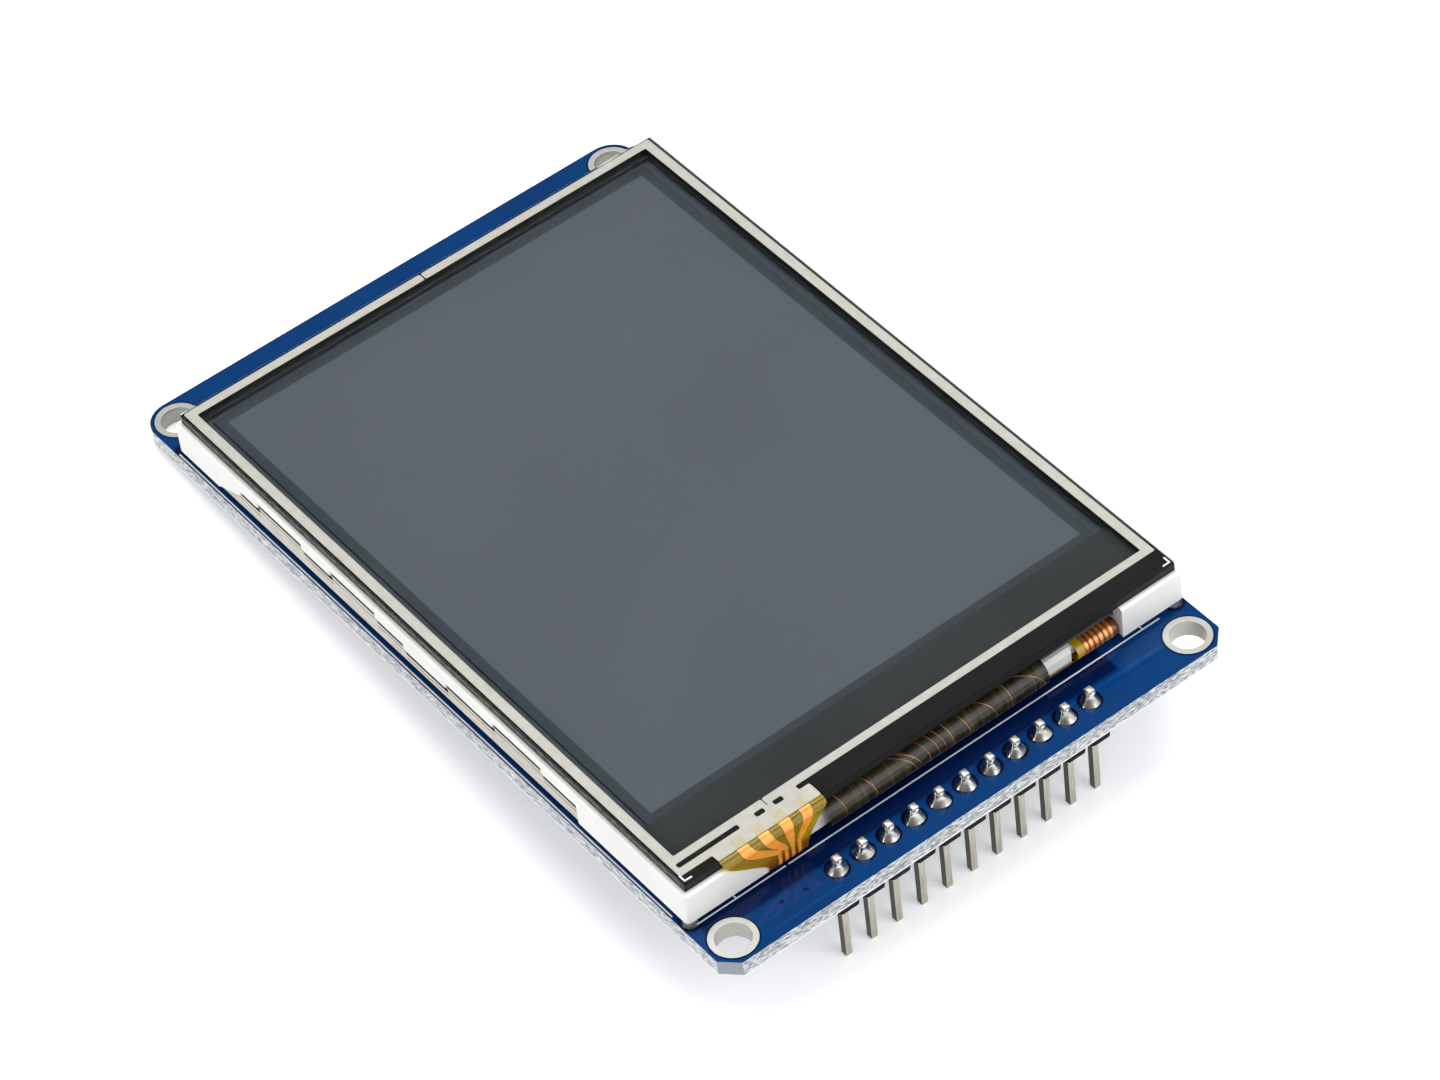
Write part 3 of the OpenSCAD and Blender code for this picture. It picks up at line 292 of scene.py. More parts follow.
@dataclass(frozen=True)
class LaminateFinish(Finish):
    """Blue solder mask on both faces, with bare glass fibre on the edges.

    Attributes:
        fibre: Screen colour of the glass fibre.
        fibre_dark: Screen colour of the gaps between its layers.
        bare: Screen colour of the mask under and round the display, partly mask with no copper under it and
            partly painted shade for the display's shadow and missing reflection.
        bare_and_shaded_at: The part of the upper face that gets that colour.
        track: Screen colour of the mask over a track.
        tracks_at: Places of the tracks.
        tracks_from: Height over which tracks show, so on the upper face alone.
        via: Screen colour of a filled through-hole, and of the mask's dark rings and rims; the rim round
            each peg is painted shade where the peg enters its hole.
        via_r: Half width of a through-hole.
        vias_at: Middles of the through-holes.
        joint_r: Radius of the dark ring where the mask stops at a solder joint.
        joint_reach: Half length of the part of the board with solder joints.
        rims: Place of a mounting hole and of a peg in each quarter, and the radius of its dark rim; the
            peg's rim is painted shade round the peg in its hole.
        chamfer: Screen colour of the cut front corners.
        lip: Screen colour of the pale lip along the board's lower edge.
        lip_mm: Height of that lip.
    """

    fibre: Colour = (226, 229, 230)
    fibre_dark: Colour = (112, 122, 130)
    bare: Colour = (3, 25, 68)
    bare_and_shaded_at: Rect = (-24.2, -36.7, 16.6, 35.4)
    track: Colour = (22, 76, 138)
    tracks_at: tuple[Rect, ...] = (
        (10.5, -37.25, 20.4, -37.05), (-13.9, -36.9, -13.75, -33.0), (-6.3, -36.9, -6.15, -33.0),
        (1.3, -36.9, 1.45, -33.0), (8.9, -36.9, 9.05, -33.0), (-20.0, -39.3, -13.4, -39.15),
    )
    tracks_from: float = 0.8
    via: Colour = (6, 8, 34)
    via_r: float = 0.17
    vias_at: tuple[Span, ...] = ((-17.92, -37.48), (-15.81, -37.74), (-15.66, -35.9))
    joint_r: float = 1.06
    joint_reach: float = 14.0
    rims: tuple[Point, ...] = ((22.86, 37.76, 2.13), (24.4, 34.35, 0.92))
    chamfer: Colour = (150, 160, 168)
    lip: Colour = (242, 243, 244)
    lip_mm: float = 0.16

    def mask(self, graph: Graph) -> Socket:
        """Returns the mask's blue with what shows through it, and with painted shade round the display and
        the pegs.
        """
        colour = super().surface(graph)
        for x0, y0, x1, y1 in self.tracks_at:
            here = graph.inside(0.06, x=(x0, x1), y=(y0, y1), z=(self.tracks_from, FAR))
            colour = graph.blend(graph.spread(here, 0, 0.5), colour, shade(self.track))
        # Painted shade: the upper face under and round the display gets a darker blue for the display's
        # shadow and its missing reflection, partly mask with no copper under it.
        x0, y0, x1, y1 = self.bare_and_shaded_at
        above = graph.maths("GREATER_THAN", graph.facing(2), 0)
        bare = graph.maths("MULTIPLY", graph.inside(0.2, x=(x0, x1), y=(y0, y1)), above)
        colour = graph.blend(bare, colour, shade(self.bare))
        for x, y in self.vias_at:
            sides = {"x": (x - self.via_r, x + self.via_r), "y": (y - self.via_r, y + self.via_r)}
            here = graph.spread(graph.inside(0.08, **sides), 0, 0.85)
            colour = graph.blend(here, colour, shade(self.via))
        parts = graph.add("SeparateXYZ", {0: graph.place()}).outputs
        half_pitch = PIN_PITCH / 2 * MM
        across = graph.maths("WRAP", parts[0], half_pitch, -half_pitch)
        along = graph.maths("SUBTRACT", parts[1], PIN_ROW_Y * MM)
        ring = graph.disc(across, along, 1, self.joint_r - 0.06, self.joint_r + 0.06)
        in_row = graph.maths("LESS_THAN", graph.maths("ABSOLUTE", parts[0]), self.joint_reach * MM)
        colour = graph.blend(graph.maths("MULTIPLY", ring, in_row), colour, shade(self.via))
        # Dark rims round the mounting holes and the pegs; the one round each peg is painted shade where it
        # enters its hole.
        for x, y, radius in self.rims:
            across = graph.maths("SUBTRACT", graph.maths("ABSOLUTE", parts[0]), x * MM)
            along = graph.maths("SUBTRACT", graph.maths("ABSOLUTE", parts[1]), y * MM)
            rim = graph.disc(across, along, 0.8, radius - 0.05, radius + 0.08)
            colour = graph.blend(rim, colour, shade(self.via))
        return colour

    def surface(self, graph: Graph) -> Socket:
        """Returns mask blue on the flats and layered fibre on the edges."""
        cloth = graph.spread(graph.noise(0.15, 4, (3.4, 3.4, 0.7)), 0, 1, 0.38, 0.62)
        edge = graph.blend(cloth, shade(self.fibre_dark), shade(self.fibre))
        slant = graph.maths("MULTIPLY", graph.facing(0), graph.facing(1))
        slant = graph.spread(graph.maths("ABSOLUTE", slant), 0, 1, 0.45, 0.49)
        cut_corner = graph.maths("MULTIPLY", slant, graph.inside(0.02, y=(-41, -30)))
        edge = graph.blend(cut_corner, edge, shade(self.chamfer))
        lip = graph.spread(graph.inside(0.03, z=(-1, self.lip_mm)), 0, 0.85)
        edge = graph.blend(lip, edge, shade(self.lip))
        flat = graph.spread(graph.upright(2), 0.0, 1.0, 0.4, 0.6)
        return graph.blend(flat, edge, self.mask(graph))


@dataclass(frozen=True)
class PinFinish(Finish):
    """Plated pin wire, with painted shade on the faces that look to either side.

    Attributes:
        shaded_sides: Screen colour of the faces on either side, a painted shade.
        tinned: Screen colour of the wire over the board.
        tinned_from: Height over which solder has wetted it.
    """

    shaded_sides: Colour = (58, 56, 46)
    tinned: Colour = (222, 218, 206)
    tinned_from: float = 1.7

    def above(self, graph: Graph) -> Socket:
        """Returns 1 where solder has wetted the wire over the board."""
        return graph.inside(0.1, z=(self.tinned_from, FAR))

    def surface(self, graph: Graph) -> Socket:
        """Returns the wire's colour, with painted shade on the faces that look to either side."""
        # Painted shade: faces that look along x get the darker colour.
        side = graph.spread(graph.upright(0), 0, 1, 0.5, 0.8)
        wire = graph.blend(side, super().surface(graph), shade(self.shaded_sides))
        return graph.blend(self.above(graph), wire, shade(self.tinned))

    def gloss(self, graph: Graph) -> Socket:
        """Returns a lower roughness where the wire is tinned."""
        return graph.maths("MULTIPLY", super().gloss(graph), graph.spread(self.above(graph), 1, 0.8))


@dataclass(frozen=True)
class TailFinish(Finish):
    """Dark flex film with the stripes of the tracks inside it.

    Attributes:
        stripe: Screen colour of the stripes.
        stripe_mm: Width of a stripe.
    """

    stripe: Colour = (66, 62, 34)
    stripe_mm: float = 0.35

    def surface(self, graph: Graph) -> Socket:
        """Returns the film's colour with stripes that run along it."""
        stripes = graph.spread(graph.noise(self.stripe_mm, 2, (1, 60, 60)), 0, 0.8, 0.5, 0.66)
        return graph.blend(stripes, super().surface(graph), shade(self.stripe))


@dataclass(frozen=True)
class LightTailFinish(Finish):
    """Brown flex film, golden where no copper backs it.

    Attributes:
        gold: Screen colour of the bare film.
        gold_x: Left and right side of the bare film.
        foot: Screen colour of the wide foot, which lies to the left of it.
    """

    gold: Colour = (190, 150, 24)
    gold_x: Span = (14.3, 15.08)
    foot: Colour = (96, 50, 16)

    def surface(self, graph: Graph) -> Socket:
        """Returns the film's colour by its place across the tail."""
        colour = super().surface(graph)
        bare = graph.inside(0.04, x=self.gold_x)
        foot = graph.inside(0.04, x=(0, self.gold_x[0]))
        colour = graph.blend(bare, colour, shade(self.gold))
        return graph.blend(foot, colour, shade(self.foot))


@dataclass(frozen=True)
class ClearFinish:
    """A clear layer, which lets the lamps through to what lies under it.

    Attributes:
        name: Name of the material.
        tint: Screen colour of the light that passes.
        roughness: Roughness of its faces.
        ior: Index of refraction.
        smear: How much faint smears change the roughness.
        clearness: 1 for a layer that passes all light, less for a cloudy one.
        low_shade_tint: Screen colour of the light that passes low on the piece, a painted shade.
        low_z: Height up to which that painted shade holds.
    """

    name: str
    tint: Colour
    roughness: float = 0.0
    ior: float = 1.45
    smear: float = 0.01
    clearness: float = 1.0
    low_shade_tint: Colour | None = None
    low_z: float = 3.4

    def make(self) -> bpy.types.Material:
        """Builds the material and returns it."""
        graph = Graph(bpy.data.materials.new(self.name))
        inputs = {
            "Base Color": shade(self.tint),
            "Roughness": self.roughness,
            "IOR": self.ior,
            "Transmission Weight": self.clearness,
        }
        if self.smear:
            rough = self.roughness + self.smear
            inputs["Roughness"] = graph.spread(graph.noise(6.0, 5), self.roughness, rough, 0.45, 0.75)
        # Painted shade: a browner, darker tint low on the piece.
        if self.low_shade_tint:
            low = graph.inside(0.5, z=(-99, self.low_z))
            inputs["Base Color"] = graph.blend(low, shade(self.tint), shade(self.low_shade_tint))
        glass = graph.add("BsdfPrincipled", inputs)
        passing = graph.add("BsdfTransparent", {"Color": shade(self.tint)})
        lamp = graph.add("LightPath").outputs["Is Shadow Ray"]
        return graph.finish(graph.add("MixShader", {0: lamp, 1: glass.outputs[0], 2: passing.outputs[0]}))


@dataclass(frozen=True)
class FramedFinish(Finish):
    """A layer whose margin differs from the part that it frames.

    Attributes:
        margin: Screen colour of the margin.
        framed: The part inside it.
    """

    margin: Colour = (62, 66, 73)
    framed: Rect = (-21.6, -26.45, 21.6, 31.15)

    def surface(self, graph: Graph) -> Socket:
        """Returns the main colour inside the margin's own."""
        x0, y0, x1, y1 = self.framed
        within = graph.inside(0.03, x=(x0, x1), y=(y0, y1))
        return graph.blend(within, shade(self.margin), super().surface(graph))


@dataclass(frozen=True)
class SilverFinish(Finish):
    """Printed silver, with the film's tan pads showing where conductors end under it.

    Attributes:
        pad_colour: Screen colour of a pad.
        pad_middles: Middles of the pads.
        pad_half: Half width of a pad.
        pad_y: Front and rear end of the pads.
    """

    pad_colour: Colour = (186, 170, 124)
    pad_middles: tuple[float, ...] = (-18.9, -16.9, -14.9, -12.9)
    pad_half: float = 0.5
    pad_y: Span = (-34.6, -33.45)

    def surface(self, graph: Graph) -> Socket:
        """Returns the silver with a softer tan at every pad."""
        colour = super().surface(graph)
        worn = graph.spread(graph.noise(0.5, 3), 0.35, 0.9, 0.35, 0.65)
        for x in self.pad_middles:
            pad = graph.inside(0.05, x=(x - self.pad_half, x + self.pad_half), y=self.pad_y)
            colour = graph.blend(graph.maths("MULTIPLY", pad, worn), colour, shade(self.pad_colour))
        return colour


@dataclass(frozen=True)
class RimFinish(Finish):
    """Tinned copper with painted light: a painted highlight on its tilted rims and painted shade on its
    upright walls.

    Attributes:
        rim: Screen colour of the tilted rims, a painted highlight.
        wall: Screen colour of the upright walls, a painted shade.
    """

    rim: Colour = (240, 240, 237)
    wall: Colour = (172, 171, 164)

    def surface(self, graph: Graph) -> Socket:
        """Returns the metal's colour with a painted highlight on tilted faces and painted shade on upright
        ones.
        """
        # Painted light: the colour goes by how far a face tilts, bright on the rims, greyer on the walls,
        # plain on the flat top.
        level = graph.upright(2)
        lit_and_shaded = graph.blend(graph.spread(level, 0, 1, 0.1, 0.45), shade(self.wall), shade(self.rim))
        return graph.blend(graph.spread(level, 0, 1, 0.93, 0.995), lit_and_shaded, super().surface(graph))


FINISHES: dict[str, Finish | ClearFinish] = {
    finish.name: finish
    for finish in (
        LaminateFinish(
            "board_laminate", (8, 58, 114), (7, 53, 107), 0.04, 0.01, blot_mm=5, bump_mm=0.0, specular=0.15
        ),
        Finish(
            "header_plastic", (5, 5, 6), (9, 9, 10), 0.6, 0.1,
            blot_mm=0.8, bump_mm=0.008, grain_mm=0.12, specular=0.12,
        ),
        RimFinish(
            "tinned_metal", (216, 216, 211), (204, 203, 197), 0.26, 0.02, 0.45, blot_mm=4, bump_mm=0.0
        ),
        PinFinish(
            "pin_metal", (190, 186, 172), (170, 166, 150), 0.34, 0.1, 0.8,
            blot_mm=0.3, stretch=(1, 1, 8), bump_mm=0.004, grain_mm=0.08,
        ),
        Finish(
            "solder", (222, 221, 216), (184, 183, 178), 0.2, 0.05, 1.0,
            blot_mm=0.6, bump_mm=0.008, grain_mm=0.7,
        ),
        Finish(
            "foam", (22, 22, 23), (34, 34, 35), 0.9, 0.05,
            blot_mm=0.4, bump_mm=0.03, grain_mm=0.12, specular=0.2,
        ),
        Finish("white_plastic", (243, 243, 240), (236, 237, 234), 0.42, blot_mm=7, bump_mm=0.003),
        Finish("white_film", (236, 236, 234), (228, 229, 227), 0.4, 0.05, blot_mm=3),
        ClearFinish("clear_plastic", (238, 242, 242), 0.05, 1.49),
        Finish("lamp_plastic", (233, 223, 160), (240, 232, 188), 0.3, blot_mm=0.5),
        # Painted shade: the film turns brown low on its fold, where it runs under.
        ClearFinish("amber_film", (196, 172, 12), 0.1, 1.45, 0.05, 0.72, low_shade_tint=(186, 110, 16)),
        TailFinish(
            "olive_film", (42, 40, 20), (32, 20, 8), 0.3, 0.06,
            blot_mm=1.6, stretch=(0.6, 6, 6), bump_mm=0.003, specular=0.3, coat=0.25, coat_roughness=0.12,
        ),
        Finish(
            "copper", (255, 170, 60), (246, 150, 40), 0.3, 0.06, 0.1,
            blot_mm=0.8, bump_mm=0.002, coat=0.4,
        ),
        FramedFinish(
            "black_film", (56, 56, 58), (59, 59, 61), 0.6, 0.05,
            blot_mm=9, bump_mm=0.0, specular=0.0, margin=(35, 35, 35), framed=(-23.3, -31.5, 24.4, 33.9),
        ),
        FramedFinish(
            "polarizer_film", (87, 88, 97), (90, 91, 100), 0.5, 0.02, blot_mm=18, bump_mm=0.0, specular=0.0
        ),
        Finish(
            "display_glass", (76, 80, 87), (72, 76, 84), 0.5, 0.02, blot_mm=10, bump_mm=0.0, specular=0.0
        ),
        Finish("silicon", (44, 44, 48), (52, 52, 56), 0.1, 0.04, 0.5, blot_mm=1),
        ClearFinish("clear_glass", (248, 252, 250), 0.0, 1.04, 0.0),
        SilverFinish(
            "silver_ink", (192, 188, 180), (184, 181, 172), 0.42, 0.08, 0.15,
            blot_mm=0.6, bump_mm=0.006, grain_mm=0.1,
        ),
        ClearFinish("clear_film", (250, 251, 250), 0.0, 1.08, 0.0),
        Finish(
            "black_mould", (28, 28, 30), (38, 38, 40), 0.6, 0.1, blot_mm=0.5, bump_mm=0.012, grain_mm=0.07
        ),
        Finish("print_ink", (244, 249, 255), (236, 242, 250), 0.6, blot_mm=0.4, bump_mm=0.0),
        Finish("track_copper", (178, 120, 84), (128, 80, 50), 0.3, 0.08, 0.2, blot_mm=1.2),
        LightTailFinish(
            "light_film", (122, 66, 20), (104, 54, 16), 0.22, 0.06, blot_mm=1.2, bump_mm=0.002, coat=0.5
        ),
        Finish("band_copper", (255, 176, 96), (232, 132, 54), 0.22, 0.06, 0.6, blot_mm=0.6, bump_mm=0.003),
        FramedFinish(
            "ground_glass", (40, 44, 41), (100, 105, 98), 0.5, 0.1,
            blot_mm=0.45, stretch=(1.6, 1.6, 1), bump_mm=0.0, specular=0.2,
            margin=(24, 26, 25), framed=(-FAR, -34.35, FAR, FAR),
        ),
        Finish(
            "film_edge", (218, 213, 202), (190, 184, 174), 0.5, 0.08,
            blot_mm=0.35, stretch=(1, 6, 0.6), bump_mm=0.004,
        ),
        Finish("tan_ceramic", (170, 132, 90), (150, 116, 80), 0.5, 0.1, blot_mm=0.4),
    )
}


class Paintbox:
    """Makes each finish once and puts it on pieces."""

    def __init__(self) -> None:
        """Starts with nothing mixed."""
        self.made: dict[str, bpy.types.Material] = {}

    def material(self, slot: str) -> bpy.types.Material:
        """Returns the material of a slot of the record."""
        if slot not in self.made:
            self.made[slot] = FINISHES[slot].make()
        return self.made[slot]

    def dress_nodes(self) -> None:
        """Gives every CAD node the finish that the record names for it."""
        for row in frame["record"]["subparts"]:
            node = frame["nodes"][row["node"]]
            finish = self.material(row["material_slot"])
            for place in node.material_slots:
                place.material = finish
            if not node.material_slots:
                node.data.materials.append(finish)
            LOG.info("%s is finished in %s", row["node"], row["material_slot"])

    def dress(self, piece: Piece, slot: str, *nodes: str, finish: str | None = None) -> None:
        """Dresses a finished piece, hangs it under the root and hides the CAD nodes that it replaces.

        Args:
            piece: The piece.
            slot: The record's slot that its finish comes from.
            nodes: The CAD nodes that it replaces.
            finish: Its own finish, where it differs from the slot's.
        """
        piece.data.materials.clear()
        piece.data.materials.append(self.material(finish or slot))
        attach(piece, "root")
        if nodes:
            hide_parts(*nodes)
        LOG.info("%s is in place, %d faces", piece.name, len(piece.data.polygons))


# Modelling ------------------------------------------------------------------


class Part(Enum):
    """The part of a mesh that is chosen in edit mode."""

    FACE = "FACE"
    POINT = "VERT"


def holds(rect: Rect, spot: Vector) -> bool:
    """Says if a place lies inside a rectangle."""
    return rect[0] < spot.x < rect[2] and rect[1] < spot.y < rect[3]


class Bench:
    """The modelling moves that every sub-assembly shares."""

    @staticmethod
    def alone(piece: Piece) -> None:
        """Selects one piece and nothing else."""
        if bpy.context.object and bpy.context.object.mode != "OBJECT":
            bpy.ops.object.mode_set(mode="OBJECT")
        bpy.ops.object.select_all(action="DESELECT")
        piece.select_set(True)
        bpy.context.view_layer.objects.active = piece

    @staticmethod
    def settle(piece: Piece) -> None:
        """Moves a piece's place and turn into its mesh."""
        Bench.alone(piece)
        bpy.ops.object.transform_apply(location=True, rotation=True, scale=True)

    @staticmethod
    def block(name: str, low: Point, high: Point) -> Piece:
        """Adds a block between two corners.

        Args:
            name: Name of the piece.
            low: Lowest corner in millimetres.
            high: Highest corner in millimetres.

        Returns:
            The new piece, with its place in its mesh.
        """
        bpy.ops.object.select_all(action="DESELECT")
        middle = [(a + b) / 2 * MM for a, b in zip(low, high)]
        bpy.ops.mesh.primitive_cube_add(size=1.0, location=middle)
        piece = bpy.context.object
        piece.name = name
        piece.scale = [(b - a) * MM for a, b in zip(low, high)]
        Bench.settle(piece)
        return piece

    @staticmethod
    def face_out() -> None:
        """Turns every face of the piece in edit mode outwards."""
        bpy.ops.mesh.select_all(action="SELECT")
        bpy.ops.mesh.normals_make_consistent(inside=False)

    @staticmethod
    def bevel(piece: Piece, width_mm: float, segments: int = 2, angle: float = 40.0) -> None:
        """Rounds a piece's sharp edges and smooths the rounds.

        Args:
            piece: The piece.
            width_mm: Width of a round.
            segments: Number of faces across a round.
            angle: Least angle of an edge that is rounded, in degrees.
        """
        Bench.alone(piece)
        step = piece.modifiers.new("edge_round", "BEVEL")
        step.width = width_mm * MM
        step.segments = segments
        step.limit_method = "ANGLE"
        step.angle_limit = math.radians(angle)
        bpy.ops.object.modifier_apply(modifier=step.name)
        bpy.ops.object.shade_smooth_by_angle(angle=math.radians(50))
        flats = piece.modifiers.new("flats_first", "WEIGHTED_NORMAL")
        flats.keep_sharp = True
        bpy.ops.object.modifier_apply(modifier=flats.name)

    @staticmethod
    def softened(node: str, name: str, width_mm: float, segments: int = 2, angle: float = 40.0) -> Piece:
        """Copies a CAD node, closes its mesh and rounds its edges.

        Args:
            node: Name of the CAD node.
            name: Name of the copy.
            width_mm: Width of a round.
            segments: Number of faces across a round.
            angle: Least angle of an edge that is rounded, in degrees.

        Returns:
            The copy.
        """
        Bench.alone(frame["nodes"][node])
        bpy.ops.object.duplicate()
        piece = bpy.context.object
        for mark in [key for key in piece.keys() if key.startswith("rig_")]:
            del piece[mark]
        piece.name = name
        bpy.ops.object.mode_set(mode="EDIT")
        bpy.ops.mesh.select_all(action="SELECT")
        bpy.ops.mesh.remove_doubles(threshold=1e-6)
        bpy.ops.mesh.dissolve_limited(angle_limit=math.radians(0.5))
        bpy.ops.object.mode_set(mode="OBJECT")
        Bench.bevel(piece, width_mm, segments, angle)
        return piece

    @staticmethod
    def choose(piece: Piece, part: Part, wanted: Callable[[Vector], bool]) -> None:
        """Selects the faces or points of the piece in edit mode by place.

        Args:
            piece: The piece, in edit mode.
            part: What is chosen.
            wanted: Takes a middle in millimetres and says if it is chosen.
        """
        bpy.ops.mesh.select_mode(type=part.value)
        bpy.ops.mesh.select_all(action="DESELECT")
        mesh = bmesh.from_edit_mesh(piece.data)
        if part is Part.FACE:
            for face in mesh.faces:
                face.select_set(wanted(face.calc_center_median() / MM))
        else:
            for point in mesh.verts:
                point.select_set(wanted(point.co / MM))
        mesh.select_flush_mode()
        bmesh.update_edit_mesh(piece.data)

    @staticmethod
    def cut_plate(
        name: str, keep: list[Rect], drop: list[Rect], low_mm: float, high_mm: float, round_mm: float = 0.0
    ) -> Piece:
        """Cuts a flat plate from rectangles, rounds its corners and thickens it.

        Args:
            name: Name of the piece.
            keep: Rectangles that the plate covers, as x0, y0, x1, y1.
            drop: Rectangles that are cut out of it.
            low_mm: Height of its underside.
            high_mm: Height of its top.
            round_mm: Size of a corner's round.

        Returns:
            The plate.
        """
        x0, y0 = min(r[0] for r in keep), min(r[1] for r in keep)
        x1, y1 = max(r[2] for r in keep), max(r[3] for r in keep)
        bpy.ops.object.select_all(action="DESELECT")
        bpy.ops.mesh.primitive_plane_add(
            size=1.0, location=((x0 + x1) / 2 * MM, (y0 + y1) / 2 * MM, low_mm * MM)
        )
        piece = bpy.context.object
        piece.name = name
        piece.scale = ((x1 - x0) * MM, (y1 - y0) * MM, 1)
        Bench.settle(piece)
        bpy.ops.object.mode_set(mode="EDIT")
        rects = keep + drop
        for axis in (0, 1):
            for mark in sorted({rect[axis] for rect in rects} | {rect[axis + 2] for rect in rects}):
                spot, normal = [0.0, 0.0, low_mm * MM], [0.0, 0.0, 0.0]
                spot[axis], normal[axis] = mark * MM, 1.0
                bpy.ops.mesh.select_all(action="SELECT")
                bpy.ops.mesh.bisect(plane_co=spot, plane_no=normal, threshold=1e-7)

        def waste(spot: Vector) -> bool:
            """Says if a face is cut away."""
            return not any(holds(rect, spot) for rect in keep) or any(holds(rect, spot) for rect in drop)

        Bench.choose(piece, Part.FACE, waste)
        bpy.ops.mesh.delete(type="FACE")
        bpy.ops.mesh.select_all(action="SELECT")
        thickness = (high_mm - low_mm) * MM
        bpy.ops.mesh.extrude_region_move(TRANSFORM_OT_translate={"value": (0, 0, thickness)})
        Bench.face_out()
        if round_mm > 0:
            bpy.ops.mesh.select_mode(type="EDGE")
            bpy.ops.mesh.select_all(action="DESELECT")
            mesh = bmesh.from_edit_mesh(piece.data)
            for edge in mesh.edges:
                upright = abs(edge.verts[0].co.z - edge.verts[1].co.z) > 0.5 * thickness
                edge.select_set(upright and edge.calc_face_angle(0.0) > 1.0)
            bmesh.update_edit_mesh(piece.data)
            bpy.ops.mesh.bevel(
                offset_type="OFFSET", offset=round_mm * MM, segments=3, affect="EDGES", clamp_overlap=False
            )
        bpy.ops.object.mode_set(mode="OBJECT")
        return piece

    @staticmethod
    def join(name: str, pieces: list[Piece]) -> Piece:
        """Joins pieces into one called name and returns it."""
        Bench.alone(pieces[0])
        for piece in pieces:
            piece.select_set(True)
        bpy.ops.object.join()
        pieces[0].name = name
        return pieces[0]


@dataclass(frozen=True)
class Fold:
    """A film's course in the side plane.

    Attributes:
        start: Where it begins, as y and z in millimetres.
        heading: Its first direction in degrees, 0 to the rear and 90 up.
        runs: Each run's radius, 0 for a straight one, and its length, or the angle in degrees that
            a bend turns to the left.
    """

    start: Span
    heading: float
    runs: tuple[Span, ...]

    def length(self, count: int | None = None) -> float:
        """Returns the length of the first count runs, or of the whole course."""
        return sum(abs(math.radians(b)) * r if r else b for r, b in self.runs[:count])

    def at(self, way: float) -> tuple[float, float, float, float]:
        """Finds a point of the course.

        Args:
            way: Distance from the start.

        Returns:
            The point's y and z, and the outward side's y and z.
        """
        y, z = self.start
        heading = math.radians(self.heading)
        for radius, amount in self.runs:
            span = abs(math.radians(amount)) * radius if radius else amount
            step = min(way, span)
            if radius:
                turn = math.copysign(step / radius, amount)
                side = math.copysign(1, amount)
                cy = y - math.sin(heading) * radius * side
                cz = z + math.cos(heading) * radius * side
                heading += turn
                y = cy + math.sin(heading) * radius * side
                z = cz - math.cos(heading) * radius * side
            else:
                y += math.cos(heading) * step
                z += math.sin(heading) * step
            way -= span
            if way <= 0:
                break
        return y, z, math.sin(heading), -math.cos(heading)


@dataclass
class FlexTail:
    """A flex circuit that leaves the display, folds round its front and ends on the board.

    Attributes:
        name: Name of the film's piece.
        course: The course of the film's middle.
        columns: Number of faces across the film.
        step: Length of a face along the course.
        thickness: The film's thickness.
    """

    name: str
    course: Fold
    columns: int
    step: float
    thickness: float = 0.1

    def sides(self, way: float) -> Span:
        """Returns the film's left and right side at a distance from its start."""
        raise NotImplementedError

    def ribbon(
        self, name: str, sides: Sides, start: float, end: float, lift: float, thickness: float, columns: int
    ) -> Piece:
        """Lays a strip flat, shapes its sides row by row and folds it along the course.

        Args:
            name: Name of the piece.
            sides: Gives the left and right side at a distance from the start.
            start: Where the strip begins.
            end: Where it ends.
            lift: Height of its middle over the film's middle.
            thickness: Its thickness.
            columns: Number of faces across it.

        Returns:
            The folded strip.
        """
        rows = max(2, round((end - start) / self.step))
        bpy.ops.object.select_all(action="DESELECT")
        bpy.ops.mesh.primitive_grid_add(
            x_subdivisions=columns, y_subdivisions=rows, size=1.0, location=(0, 0, 0)
        )
        piece = bpy.context.object
        piece.name = name
        for point in piece.data.vertices:
            across, along = point.co.x + 0.5, point.co.y + 0.5
            way = start + (end - start) * along
            left, right = sides(way)
            y, z, out_y, out_z = self.course.at(way)
            point.co = Vector((left + (right - left) * across, y + out_y * lift, z + out_z * lift)) * MM
        Bench.alone(piece)
        step = piece.modifiers.new("film_thickness", "SOLIDIFY")
        step.thickness = thickness * MM
        step.offset = 0.0
        bpy.ops.object.modifier_apply(modifier=step.name)
        bpy.ops.object.mode_set(mode="EDIT")
        Bench.face_out()
        bpy.ops.object.mode_set(mode="OBJECT")
        bpy.ops.object.shade_smooth_by_angle(angle=math.radians(40))
        return piece

    def film(self) -> Piece:
        """Builds the film itself and returns it."""
        end = self.course.length()
        return self.ribbon(self.name, self.sides, 0.0, end, 0.0, self.thickness, self.columns)


# Sub-assemblies --------------------------------------------------------------


